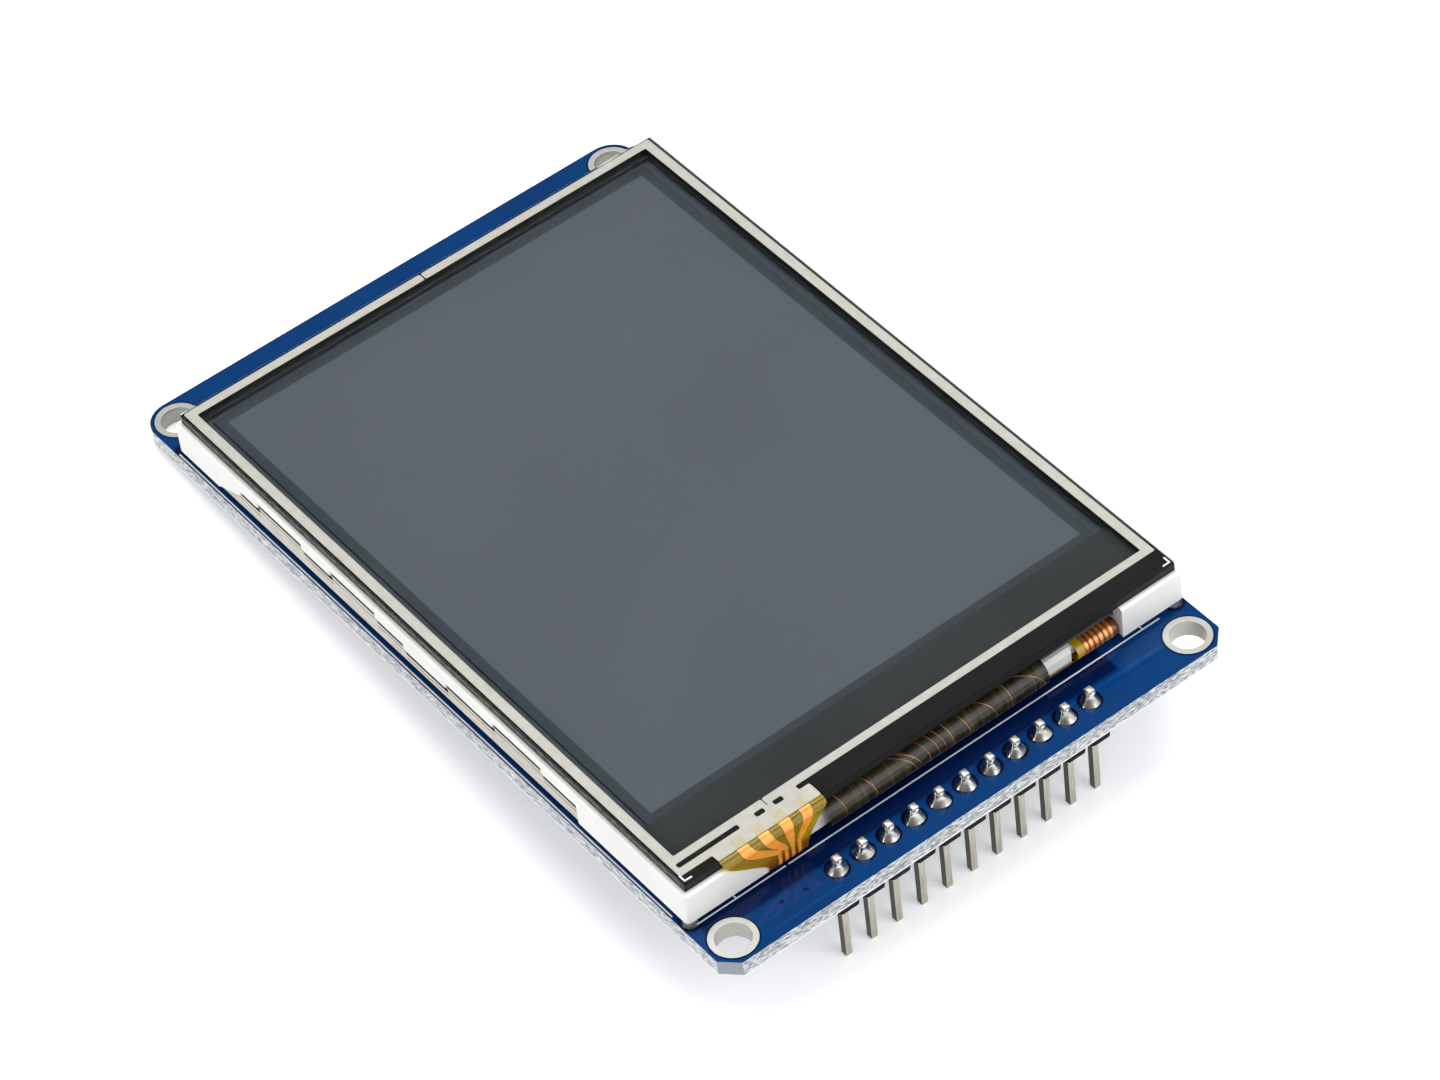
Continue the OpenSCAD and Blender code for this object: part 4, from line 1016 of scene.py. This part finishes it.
@dataclass
class BoardPrint:
    """The white lines printed on the board round the display.

    Attributes:
        line_w: Width of a line.
        line_t: Its thickness.
        front_y: Middle of the front line.
        front_x: Left and right end of the front line.
        breaks: Where the front line is broken, as from and to.
        ticks: Where short lines run from it to the rear.
        tick_l: Length of a short line.
        side_x: Distance of the side lines from the middle.
        side_y: Front and rear end of the side lines.
    """

    line_w: float = 0.14
    line_t: float = 0.012
    front_y: float = -34.86
    front_x: Span = (-24.1, 22.4)
    breaks: tuple[Span, ...] = ((-15.45, -15.2),)
    ticks: tuple[float, ...] = (-20.3, 20.65)
    tick_l: float = 0.6
    side_x: float = 25.06
    side_y: Span = (-33.0, 34.3)

    def build(self, paintbox: Paintbox) -> None:
        """Prints the lines and dresses them."""
        half = self.line_w / 2
        keep = [(self.front_x[0], self.front_y - half, self.front_x[1], self.front_y + half)]
        keep += [(x - half, self.front_y, x + half, self.front_y + self.tick_l) for x in self.ticks]
        for x in (-self.side_x, self.side_x):
            keep.append((x - half, self.side_y[0], x + half, self.side_y[1]))
        drop = [(a, self.front_y - 1, b, self.front_y + 1) for a, b in self.breaks]
        top = BOARD_HIGH[2]
        piece = Bench.cut_plate("printed_lines", keep, drop, top, top + self.line_t)
        paintbox.dress(piece, "white_plastic", finish="print_ink")


@dataclass
class SolderRow:
    """The solder cones round the header's pins.

    Attributes:
        foot_r: Radius of a cone's foot.
        top_r: Radius of its top.
        foot_z: Height of the board's top.
        height: Height of a cone.
        hollow: Power by which its side draws in.
        rings: Number of rings up a cone.
        corners: Number of corners of a ring.
        tip_inset: Width of the step round the tip.
        tip_rise: Height of the tip over that step.
        oval: How far the foot departs from round, with its turn from cone to cone.
        lobes: How far three soft lobes stand out.
        slant: How far the top slants, with its turn from cone to cone.
        swing: How far a cone leans sideways, with its turn from cone to cone.
        nod: How far it leans forwards, with its turn from cone to cone.
    """

    foot_r: float = 0.88
    top_r: float = 0.43
    foot_z: float = BOARD_HIGH[2]
    height: float = 1.05
    hollow: float = 1.6
    rings: int = 7
    corners: int = 28
    tip_inset: float = 0.1
    tip_rise: float = 0.12
    oval: Span = (0.05, 1.7)
    lobes: float = 0.04
    slant: Span = (0.05, 2.1)
    swing: Span = (0.05, 2.4)
    nod: Span = (0.04, 1.3)

    def model(self) -> Piece:
        """Models one cone: a round foot drawn up ring by ring to a raised tip."""
        bpy.ops.object.select_all(action="DESELECT")
        foot = (0, 0, self.foot_z * MM)
        bpy.ops.mesh.primitive_circle_add(
            vertices=self.corners, radius=self.foot_r * MM, fill_type="NGON", location=foot
        )
        piece = bpy.context.object
        Bench.settle(piece)
        bpy.ops.object.mode_set(mode="EDIT")
        bpy.ops.mesh.select_mode(type="FACE")
        bpy.ops.mesh.select_all(action="SELECT")
        radius, level = self.foot_r, 0.0
        for ring in range(1, self.rings + 1):
            share = ring / self.rings
            next_r = self.top_r + (self.foot_r - self.top_r) * (1 - share) ** self.hollow
            next_z = self.height * share
            rise = (0, 0, (next_z - level) * MM)
            bpy.ops.mesh.extrude_region_move(TRANSFORM_OT_translate={"value": rise})
            bpy.ops.transform.resize(
                value=(next_r / radius, next_r / radius, 1),
                center_override=(0, 0, (self.foot_z + next_z) * MM),
            )
            radius, level = next_r, next_z
        bpy.ops.mesh.inset(thickness=self.tip_inset * MM)
        bpy.ops.transform.translate(value=(0, 0, self.tip_rise * MM))
        Bench.face_out()
        bpy.ops.object.mode_set(mode="OBJECT")
        bpy.ops.object.shade_smooth_by_angle(angle=math.radians(60))
        return piece

    def build(self, paintbox: Paintbox) -> None:
        """Sets a slightly different cone round every pin."""
        first = self.model()
        for number in range(1, PIN_COUNT + 1):
            Bench.alone(first)
            bpy.ops.object.duplicate()
            cone = bpy.context.object
            cone.name = f"solder_cone_{number}"
            middle_x = (number - 1 - (PIN_COUNT - 1) / 2) * PIN_PITCH
            swing = self.swing[0] * math.sin(number * self.swing[1])
            nod = self.nod[0] * math.cos(number * self.nod[1])
            for point in cone.data.vertices:
                up = (point.co.z / MM - self.foot_z) / self.height
                turn = math.atan2(point.co.y, point.co.x)
                oval = self.oval[0] * math.sin(2 * turn + number * self.oval[1]) * (1 - up)
                wave = 1 + oval + self.lobes * math.sin(3 * turn + number)
                point.co.x = point.co.x * wave + (swing * up + middle_x) * MM
                point.co.y = point.co.y * wave + (PIN_ROW_Y + nod * up) * MM
                point.co.z += self.slant[0] * MM * up * math.sin(turn + number * self.slant[1])
            paintbox.dress(cone, "solder", f"solder_joint_{number}")
        Bench.alone(first)
        bpy.ops.object.delete()


@dataclass
class PinRow:
    """The header's pins with eased edges, and its housing.

    Attributes:
        ease: Width of the round along a pin's edges.
        housing_ease: Width of the round along the housing's edges.
        housing_share: How much of the housing's height shows below the board.
    """

    ease: float = 0.05
    housing_ease: float = 0.06
    housing_share: float = 0.87

    def build(self, paintbox: Paintbox) -> None:
        """Eases the pins' edges and the housing's, and dresses them."""
        for number in range(1, PIN_COUNT + 1):
            node = f"header_pin_{number}"
            pin = Bench.softened(node, f"pin_{number}", self.ease, 2, 30)
            paintbox.dress(pin, "pin_metal", node)
        block = Bench.softened("header_housing", "header_block", self.housing_ease)
        bpy.ops.object.mode_set(mode="EDIT")
        bpy.ops.mesh.select_all(action="SELECT")
        bpy.ops.transform.resize(value=(1, 1, self.housing_share), center_override=(0, 0, 0))
        bpy.ops.object.mode_set(mode="OBJECT")
        paintbox.dress(block, "header_plastic", "header_housing")


@dataclass
class TouchPanel:
    """The glass, the silver border and the clear film of the touch panel.

    Attributes:
        glass: Underside and top of the glass.
        silver: Underside and top of the border.
        film: Underside and top of the film.
        inner: The inner side of the border.
        front_out: Outer front side of the border.
        plate: The plate over the touch flex.
        lead_y: Front side of the lead that runs to the plate.
        lead_w: Its width.
        slots: The plate's slots, as from and to.
        gap: The gap in the border's rear side.
        nick: The gap in its front side.
        corner: The border's rounded corners.
        mark_in: Distance of a corner mark from the panel's side and from its front.
        mark_l: Length of a corner mark's arms.
        mark_w: Their width.
        rim: Width of the ground rim round the pane.
        pane_in: Distance of the pane's edge from the panel's, inside the ground rim.
    """

    glass: Span = levels("touch_glass", 0.003, 0.004)
    silver: Span = levels("silver_border", 0.002, 0.004)
    film: Span = levels("touch_film", 0.003, 0.003)
    inner: Rect = (-23.4, -31.7, 23.4, 32.8)
    front_out: float = -32.45
    plate: Rect = (TOUCH_FLEX_LOW[0], SILVER_LOW[1], TOUCH_FLEX_HIGH[0], -32.35)
    lead_y: float = -33.65
    lead_w: float = 0.7
    slots: tuple[Span, ...] = ((-23.8, -17.85), (-16.25, -15.35), (-14.45, -13.55), (-12.15, -11.0))
    gap: Span = (-0.075, 0.075)
    nick: Span = (-14.95, -14.86)
    corner: float = 0.16
    mark_in: Span = (0.2, 0.22)
    mark_l: float = 0.75
    mark_w: float = 0.14
    rim: float = 0.07
    pane_in: float = 0.08

    def silver_border(self) -> Piece:
        """Cuts the border with its plate, slots and breaks."""
        out, rear = SILVER_HIGH[0], SILVER_HIGH[1]
        x0, y0, x1, y1 = self.inner
        keep = [
            (-out, self.front_out, out, y0),
            (-out, y1, out, rear),
            (-out, self.front_out, x0, rear),
            (x1, self.front_out, out, rear),
            (-out, self.lead_y, self.plate[0], self.front_out),
            self.plate,
        ]
        slot_y = self.lead_y + self.lead_w
        drop = [(a, slot_y, b, self.front_out) for a, b in self.slots]
        drop.append((self.gap[0], y1 - 0.2, self.gap[1], rear + 0.2))
        drop.append((self.nick[0], self.front_out - 0.1, self.nick[1], y0 + 0.1))
        return Bench.cut_plate("silver_print", keep, drop, *self.silver, round_mm=self.corner)

    def corner_marks(self) -> Piece:
        """Prints the small angles in the panel's front corners."""
        y = PANEL_LOW[1] + self.mark_in[1]
        keep = []
        for side in (-1, 1):
            x = side * (PANEL_HIGH[0] - self.mark_in[0])
            for across, along in ((self.mark_l, self.mark_w), (self.mark_w, self.mark_l)):
                x0, x1 = sorted((x, x - side * across))
                keep.append((x0, y, x1, y + along))
        return Bench.cut_plate("corner_marks", keep, [], *self.silver)

    def ground_edge(self) -> Piece:
        """Cuts the ground rim that runs round the pane's edge."""
        keep = [(PANEL_LOW[0], PANEL_LOW[1], PANEL_HIGH[0], PANEL_HIGH[1])]
        drop = [
            (
                PANEL_LOW[0] + self.rim, PANEL_LOW[1] + self.rim,
                PANEL_HIGH[0] - self.rim, PANEL_HIGH[1] - self.rim,
            )
        ]
        return Bench.cut_plate("ground_edge", keep, drop, *self.glass)

    def build(self, paintbox: Paintbox) -> None:
        """Builds and dresses the layers."""
        paintbox.dress(self.ground_edge(), "clear_glass", finish="ground_glass")
        for name, span, slot, node, ease, inset in (
            ("touch_pane", self.glass, "clear_glass", "touch_glass", 0.06, self.pane_in),
            ("touch_sheet", self.film, "clear_film", "touch_film", 0.03, 0.0),
        ):
            low = (PANEL_LOW[0] + inset, PANEL_LOW[1] + inset, span[0])
            high = (PANEL_HIGH[0] - inset, PANEL_HIGH[1] - inset, span[1])
            piece = Bench.block(name, low, high)
            Bench.bevel(piece, ease)
            paintbox.dress(piece, slot, node)
        paintbox.dress(self.silver_border(), "silver_ink", "silver_border")
        paintbox.dress(self.corner_marks(), "silver_ink", finish="print_ink")


@dataclass
class TouchTail(FlexTail):
    """The touch panel's flex circuit with its four fanned conductors.

    Attributes:
        top: Left and right side at the touch panel.
        top_l: Length of the film that keeps that width.
        foot: Left and right side at the foot.
        foot_z: Height where the spreading starts.
        left_h: Height over which the left side spreads.
        right_h: Height over which the right side spreads.
        count: Number of conductors.
        waist_z: Height where the conductors draw together.
        waist: Middle, pitch and width of the conductors at the waist.
        crown: Middle, pitch and width of the conductors at the touch panel.
        rise_power: Power by which a conductor's swing starts.
        draw_power: Power by which it ends.
        metal: Height of the conductors' middle over the film's, and their thickness.
    """

    name: str = "touch_tail"
    course: Fold = Fold(
        (-33.9, 6.2),
        180,
        ((0, 0.6), (0.59, 90), (0, 2.81), (0.7, 90), (0, 0.8), (1, -9.3), (0, 2.374), (1, 9.3), (0, 1.8)),
    )
    columns: int = 12
    step: float = 0.1
    top: Span = (TOUCH_FLEX_LOW[0], TOUCH_FLEX_HIGH[0])
    top_l: float = 0.7
    foot: Span = (-17.1, -13.3)
    foot_z: float = 2.8
    left_h: float = 3.4
    right_h: float = 3.06
    count: int = 4
    waist_z: float = 3.8
    waist: Point = (-15.104, 0.64, 0.32)
    crown: Point = (-15.95, 2.0, 1.0)
    rise_power: float = 1.25
    draw_power: float = 1.9
    metal: Span = (0.066, 0.03)

    def sides(self, way: float) -> Span:
        """Returns the film's left and right side at a distance from its start."""
        if way < self.top_l:
            return self.top
        rise = max(0.0, self.course.at(way)[1] - self.foot_z)
        s = min(1.0, rise / self.left_h)
        left = self.foot[0] + (self.top[0] - self.foot[0]) * (s * s * (3 - 2 * s)) ** 0.8
        t = min(1.0, rise / self.right_h)
        return left, self.foot[1] + (self.top[1] - self.foot[1]) * t**1.5

    def conductor(self, number: int) -> Sides:
        """Returns a function that gives one conductor's sides.

        Args:
            number: The conductor, counted from 0 at the left.
        """
        place = number - (self.count - 1) / 2
        low_x = self.waist[0] + place * self.waist[1]
        reach = self.crown[0] + place * self.crown[1] - low_x
        height = self.course.start[1] + 0.13 - self.waist_z
        rise, draw = self.rise_power, self.draw_power

        def sides(way: float) -> Span:
            """Gives the conductor's sides at a distance from the film's start."""
            s = min(1.0, max(0.0, (self.course.at(way)[1] - self.waist_z) / height))
            x = low_x + reach * (1 - (1 - s**rise) ** draw)
            lean = reach / height * rise * draw * (1 - s**rise) ** (draw - 1) * s ** (rise - 1)
            half = (self.waist[2] + (self.crown[2] - self.waist[2]) * s**0.6) / 2
            half *= math.sqrt(1 + lean * lean)
            return x - half, x + half

        return sides

    def build(self, paintbox: Paintbox) -> None:
        """Builds and dresses the film and its conductors."""
        paintbox.dress(self.film(), "amber_film", "touch_flex")
        start, end = self.course.length(1), self.course.length(3) + 0.5
        bars = [
            self.ribbon(f"bar_{number}", self.conductor(number), start, end, *self.metal, 4)
            for number in range(self.count)
        ]
        fan = Bench.join("touch_tail_conductors", bars)
        paintbox.dress(fan, "copper", "touch_conductors")


@dataclass
class LightTail:
    """The backlight's small flex circuit and the copper bands on its bend.

    Attributes:
        finishes: Each CAD node's own finish.
    """

    finishes: tuple[tuple[str, str], ...] = (
        ("backlight_flex", "light_film"), ("backlight_tracks", "band_copper"),
    )

    def build(self, paintbox: Paintbox) -> None:
        """Gives the film and its bands their own finishes."""
        for node, finish in self.finishes:
            for place in frame["nodes"][node].material_slots:
                place.material = paintbox.material(finish)


@dataclass
class SideFilms:
    """The film stack's edges that show in the stepped recess of both side walls.

    Attributes:
        shares: Ends of the recess's stretches as shares of the frame's length.
        steps: Level of each stretch.
        first_top: Height of the lowest stretch's ceiling.
        rise: Rise from one level to the next.
        low_z: Height of the stack's lower edge.
        hidden: Part of the stack that the wall's own edge hides.
        inner_x: Inner side of the stack's edge.
        outer_x: Its outer side.
        gap: Height of the black strip of painted shadow over the stack.
        line: Height of the dark line between two sheets of the stack.
        line_drop: How far that line lies below the recess's ceiling.
        wedge_x: Outer side of the white wedge that closes the recess's rear end.
        wedge_y: Its front and its rear end.
        wedge_z: Its lower edge at the rear, its lower edge at the front, and its top.
    """

    shares: tuple[float, ...] = (0.2, 0.265, 0.358, 0.45, 0.532, 0.587, 0.678, 0.736, 0.827, 0.914)
    steps: tuple[int, ...] = (1, 2, 1, 0, 1, 2, 1, 2, 1)
    first_top: float = 3.7
    rise: float = 0.6
    low_z: float = 2.22
    hidden: float = 0.62
    inner_x: float = 24.6
    outer_x: float = 24.82
    gap: float = 0.14
    line: float = 0.05
    line_drop: float = 1.05
    wedge_x: float = 24.97
    wedge_y: Span = (24.9, 28.35)
    wedge_z: Point = (2.3, 3.7, 4.34)

    def strips(self, name: str, proud: float, drop: float, height: float | None) -> Piece:
        """Lays one strip in each stretch of both recesses and joins them.

        Args:
            name: Name of the joined piece.
            proud: How far the strips stand out past the stack's outer side.
            drop: How far a strip's lower edge lies below the recess's ceiling, or its upper edge
                where it has no height of its own.
            height: Height of a strip, or None where it reaches down to the stack's lower edge.

        Returns:
            The joined piece.
        """
        parts = []
        start, length = FRAME_LOW[1], round(FRAME_HIGH[1] - FRAME_LOW[1], 4)
        for side in (-1, 1):
            x0, x1 = sorted((side * self.inner_x, side * (self.outer_x + proud)))
            for number, step in enumerate(self.steps):
                y0, y1 = (start + share * length for share in self.shares[number : number + 2])
                edge = self.first_top + step * self.rise - drop
                low, high = (self.low_z, edge) if height is None else (edge, edge + height)
                parts.append(Bench.block(f"{name}_{len(parts)}", (x0, y0, low), (x1, y1, high)))
        return Bench.join(name, parts)

    def wedge(self, side: int) -> Piece:
        """Models the wedge of one side wall.

        Args:
            side: -1 for the left wall and 1 for the right one.

        Returns:
            The wedge.
        """
        x0, x1 = sorted((side * self.inner_x, side * self.wedge_x))
        y0, y1 = self.wedge_y
        rear_z, front_z, top_z = self.wedge_z
        piece = Bench.block("wedge", (x0, y0, rear_z), (x1, y1, top_z))
        bpy.ops.object.mode_set(mode="EDIT")
        Bench.choose(piece, Part.POINT, lambda spot: spot.y < y0 + 0.1 and spot.z < rear_z + 0.1)
        bpy.ops.transform.translate(value=(0, 0, (front_z - rear_z) * MM))
        bpy.ops.object.mode_set(mode="OBJECT")
        return piece

    def build(self, paintbox: Paintbox) -> None:
        """Builds and dresses the edges, the black strips of painted shadow over them, the dark lines between
        their sheets, and the wedges.
        """
        edges = self.strips("film_edges", 0.0, self.hidden, None)
        Bench.bevel(edges, 0.03, 1)
        paintbox.dress(edges, "white_film", finish="film_edge")
        # Painted shadow: black strips stand in for the shade in the gap under the recess's ceiling.
        paintbox.dress(self.strips("painted_shadow_gaps", 0.02, self.hidden, self.gap), "black_film")
        paintbox.dress(self.strips("film_lines", 0.01, self.line_drop, self.line), "black_film")
        wedges = Bench.join("skirt_wedges", [self.wedge(side) for side in (-1, 1)])
        Bench.bevel(wedges, 0.04, 1)
        paintbox.dress(wedges, "white_plastic")


@dataclass
class MountingRings:
    """The plated rings of the four mounting holes, with rolled rims.

    Attributes:
        count: Number of rings.
        rim: Width of a rim's round.
    """

    count: int = 4
    rim: float = 0.1

    def build(self, paintbox: Paintbox) -> None:
        """Rounds and dresses every ring."""
        for number in range(1, self.count + 1):
            node = f"hole_plating_{number}"
            ring = Bench.softened(node, f"mounting_ring_{number}", self.rim, 3, 50)
            paintbox.dress(ring, "tinned_metal", node)


@dataclass
class DisplayTail(FlexTail):
    """The display's wide flex circuit with the copper tracks that show on its bend.

    Attributes:
        half_w: Half of its width.
        tracks: Each bright track's place low on the bend and at its top.
        track_w: Width of a track.
        metal: Height of the tracks' middle over the film's, and their thickness.
        swing_share: Part of the bend over which a track swings sideways.
        swing_h: Height of that part.
    """

    name: str = "display_tail"
    course: Fold = Fold(
        (-32.5, 4.6),
        180,
        ((0, 1.3), (1.25, 180), (0, 4.5), (1, -9.3), (0, 2.374), (1, 9.3), (0, 1.8)),
    )
    columns: int = 24
    step: float = 0.14
    half_w: float = corners("display_flex")[1][0]
    track_w: float = 0.07
    metal: Span = (0.056, 0.01)
    swing_share: float = 0.62
    swing_h: float = 2.4
    tracks: tuple[Span, ...] = (
        (-9.4, -9.9), (-6.4, -7.3), (-2.5, -4.6), (-1.96, -3.9), (-1.1, -1.9), (-0.2, -0.9),
        (0.5, -0.2), (1.25, 0.8), (2.9, 2.2), (5.6, 4.1), (7.2, 6.9), (10.5, 7.9),
    )

    def sides(self, way: float) -> Span:
        """Returns the film's left and right side, the same at any distance from its start."""
        return -self.half_w, self.half_w

    def track(self, low_x: float, top_x: float) -> Sides:
        """Returns a function that gives one track's sides.

        Args:
            low_x: Its place low on the bend.
            top_x: Its place at the bend's top.
        """
        start, bend = self.course.length(1), self.course.length(2) - self.course.length(1)

        def sides(way: float) -> Span:
            """Gives the track's sides at a distance from the film's start."""
            up = max(0.0, 1 - (way - start) / bend / self.swing_share)
            x = low_x + (top_x - low_x) * up**2
            lean = abs(top_x - low_x) * 2 * up / self.swing_h
            half = self.track_w / 2 * math.sqrt(1 + lean * lean)
            return x - half, x + half

        return sides

    def build(self, paintbox: Paintbox) -> None:
        """Builds and dresses the film and its tracks."""
        paintbox.dress(self.film(), "olive_film", "display_flex")
        start, end = self.course.length(1), self.course.length(2)
        bars = [
            self.ribbon(f"track_{number}", self.track(*ends), start, end, *self.metal, 1)
            for number, ends in enumerate(self.tracks)
        ]
        paintbox.dress(Bench.join("display_tail_tracks", bars), "copper", finish="track_copper")


@dataclass
class DisplayBody:
    """The moulded white frame with softened edges.

    Attributes:
        ease: Width of the round along its edges.
        foot_z: Height of its foot.
        drop: How far its skirt reaches below that foot outside the recess.
        recess: Front and rear end of the recess.
        wall_x: Distance of the side walls' skirt from the middle.
        front_y: Place behind which the front wall's skirt ends.
    """

    ease: float = 0.14
    foot_z: float = 2.6
    drop: float = 0.35
    recess: Span = (-21.11, 28.3)
    wall_x: float = 24.0
    front_y: float = -34.0

    def in_skirt(self, spot: Vector) -> bool:
        """Says if a point of the frame belongs to the skirt outside the recess."""
        low = self.foot_z - 0.03 < spot.z < self.foot_z + 0.2
        in_recess = self.recess[0] + 0.02 < spot.y < self.recess[1] - 0.02
        return low and not in_recess and (abs(spot.x) > self.wall_x or spot.y < self.front_y)

    def build(self, paintbox: Paintbox) -> None:
        """Softens the frame's edges, draws its skirt down at the ends and dresses it."""
        body = Bench.softened("backlight_frame", "display_body", self.ease, 2, 35)
        bpy.ops.object.mode_set(mode="EDIT")
        Bench.choose(body, Part.POINT, self.in_skirt)
        bpy.ops.transform.translate(value=(0, 0, -self.drop * MM))
        bpy.ops.object.mode_set(mode="OBJECT")
        paintbox.dress(body, "white_plastic", "backlight_frame")


# Studio --------------------------------------------------------------------


@dataclass
class Studio:
    """The camera, the lamps, the pale surroundings and the floor, in metres.

    Attributes:
        camera_at: The camera's place.
        camera_aim: A point that it looks at.
        camera_roll: Its turn about its own line of sight, in degrees.
        lens_mm: Its focal length on a sensor 36 mm wide.
        rest_front: Where the pin tips stand, as y and z.
        rest_rear: Where the board's rear edge lies, as y and z.
        floor_size: Side of the square floor.
        floor_gap: How far the floor lies below the object, so that they don't flicker.
        floor_glow: How bright the floor's own white is where it is seen or mirrored.
        soft_light: Strength of the light from all round.
        table_glow: Strength of what mirrors see near the horizon.
        sky_glow: Strength of what they see overhead.
        sky_from: Height of the horizon's upper edge and of the sky's start, as parts of 1.
        dark_side: Share of both that is left on the object's left side.
        side_from: Where the left side's darkness ends and starts across the view, as parts of 1.
        lamps: Each lamp's name, place, size and power.
    """

    camera_at: Point = (-0.1680106, -0.2704789, 0.3305306)
    camera_aim: Point = (0.0025739, -0.0034183, 0.0005640)
    camera_roll: float = -7.527
    lens_mm: float = 140.881
    rest_front: Span = (PIN_ROW_Y * MM, FIRST_PIN_LOW[2] * MM)
    rest_rear: Span = (BOARD_HIGH[1] * MM, BOARD_LOW[2] * MM)
    floor_size: float = 3.0
    floor_gap: float = 0.00005
    floor_glow: float = 0.39
    soft_light: float = 0.6
    table_glow: float = 1.0
    sky_glow: float = 0.3
    sky_from: Span = (0.15, 0.6)
    dark_side: float = 0.25
    side_from: Span = (-0.5, 0.3)
    lamps: tuple[tuple[str, Point, float, float], ...] = (
        ("key_lamp", (0.12, 0.12, 0.78), 0.5, 3.4),
        ("fill_lamp", (0.22, -0.55, 0.35), 0.5, 1.6),
        ("side_lamp", (-0.6, 0.1, 0.3), 0.4, 0.85),
    )

    def set_camera(self) -> None:
        """Adds the camera and makes it the scene's own."""
        bpy.ops.object.camera_add(location=self.camera_at)
        camera = bpy.context.object
        camera.name = "studio_camera"
        sight = Vector(self.camera_aim) - Vector(self.camera_at)
        level = sight.to_track_quat("-Z", "Y")
        roll = Matrix.Rotation(math.radians(self.camera_roll), 4, "Z").to_quaternion()
        camera.rotation_mode = "QUATERNION"
        camera.rotation_quaternion = level @ roll
        camera.data.lens = self.lens_mm
        camera.data.sensor_width = 36.0
        camera.data.clip_start = 0.01
        camera.data.clip_end = 20.0
        bpy.context.scene.camera = camera

    def set_world(self) -> None:
        """Gives the surroundings an even pale light.

        The camera sees them white, and so does what passes low through a clear layer. Mirrors see a
        sky that is darker overhead and to the object's left. All else gets the soft light.
        """
        world = bpy.data.worlds.new("pale_studio")
        bpy.context.scene.world = world
        graph = Graph(world, "OutputWorld")
        path = graph.add("LightPath").outputs
        way = graph.add("SeparateXYZ", {0: graph.add("TexCoord").outputs["Generated"]}).outputs
        low = graph.maths("LESS_THAN", way[2], self.sky_from[0])
        through = graph.maths("MULTIPLY", path["Is Transmission Ray"], low)
        seen = graph.maths("MAXIMUM", path["Is Camera Ray"], through)
        sky = graph.spread(way[2], self.table_glow, self.sky_glow, *self.sky_from)
        side = graph.spread(way[0], self.dark_side, 1.0, *self.side_from)
        strengths = (self.soft_light, graph.maths("MULTIPLY", sky, side), 1.0)
        white = (1.0, 1.0, 1.0, 1.0)
        soft, mirrored, pale = (
            graph.add("Background", {0: white, 1: strength}).outputs[0] for strength in strengths
        )
        lit = graph.add("MixShader", {0: path["Is Glossy Ray"], 1: soft, 2: mirrored}).outputs[0]
        graph.finish(graph.add("MixShader", {0: seen, 1: lit, 2: pale}))

    def set_lamps(self) -> None:
        """Adds the soft lamps, each facing the object."""
        for name, place, size, power in self.lamps:
            bpy.ops.object.light_add(type="AREA", location=place)
            lamp = bpy.context.object
            lamp.name = name
            lamp.data.shape = "SQUARE"
            lamp.data.size = size
            lamp.data.energy = power
            lamp.rotation_mode = "QUATERNION"
            lamp.rotation_quaternion = (-Vector(place)).to_track_quat("-Z", "Y")

    def set_floor(self) -> None:
        """Lays the floor under the pin tips and the board's rear edge."""
        front_y, front_z = self.rest_front
        run, rise = self.rest_rear[0] - front_y, self.rest_rear[1] - front_z
        middle_z = front_z - front_y * rise / run - self.floor_gap
        bpy.ops.object.select_all(action="DESELECT")
        bpy.ops.mesh.primitive_plane_add(
            size=self.floor_size, location=(0, 0, middle_z), rotation=(math.atan2(rise, run), 0, 0)
        )
        floor = bpy.context.object
        floor.name = "studio_floor"
        Bench.settle(floor)
        graph = Graph(bpy.data.materials.new("floor_white"))
        path = graph.add("LightPath").outputs
        seen = graph.maths("MAXIMUM", path["Is Camera Ray"], path["Is Transmission Ray"])
        seen = graph.maths("MAXIMUM", seen, path["Is Glossy Ray"])
        paper = graph.blend(graph.noise(30.0, 2), shade((244, 244, 245)), shade((247, 247, 247)))
        inputs = {
            "Base Color": paper,
            "Roughness": 0.8,
            "Specular IOR Level": 0.1,
            "Emission Color": (1.0, 1.0, 1.0, 1.0),
            "Emission Strength": graph.spread(seen, 0.0, self.floor_glow),
        }
        floor.data.materials.append(graph.finish(graph.add("BsdfPrincipled", inputs)))

    def build(self) -> None:
        """Sets the whole studio and asks for plain colours."""
        self.set_camera()
        self.set_world()
        self.set_lamps()
        self.set_floor()
        bpy.context.scene.view_settings.view_transform = "Standard"


def main() -> None:
    """Builds the studio and dresses the module."""
    logging.basicConfig(level=logging.INFO, format="%(name)s: %(message)s")
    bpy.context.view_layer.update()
    Studio().build()
    paintbox = Paintbox()
    paintbox.dress_nodes()
    assemblies = (
        BoardPrint(), MountingRings(), SolderRow(), PinRow(), DisplayBody(), SideFilms(),
        TouchPanel(), TouchTail(), DisplayTail(), LightTail(),
    )
    for assembly in assemblies:
        LOG.info("building %s", type(assembly).__name__)
        assembly.build(paintbox)


if __name__ == "__main__":
    main()
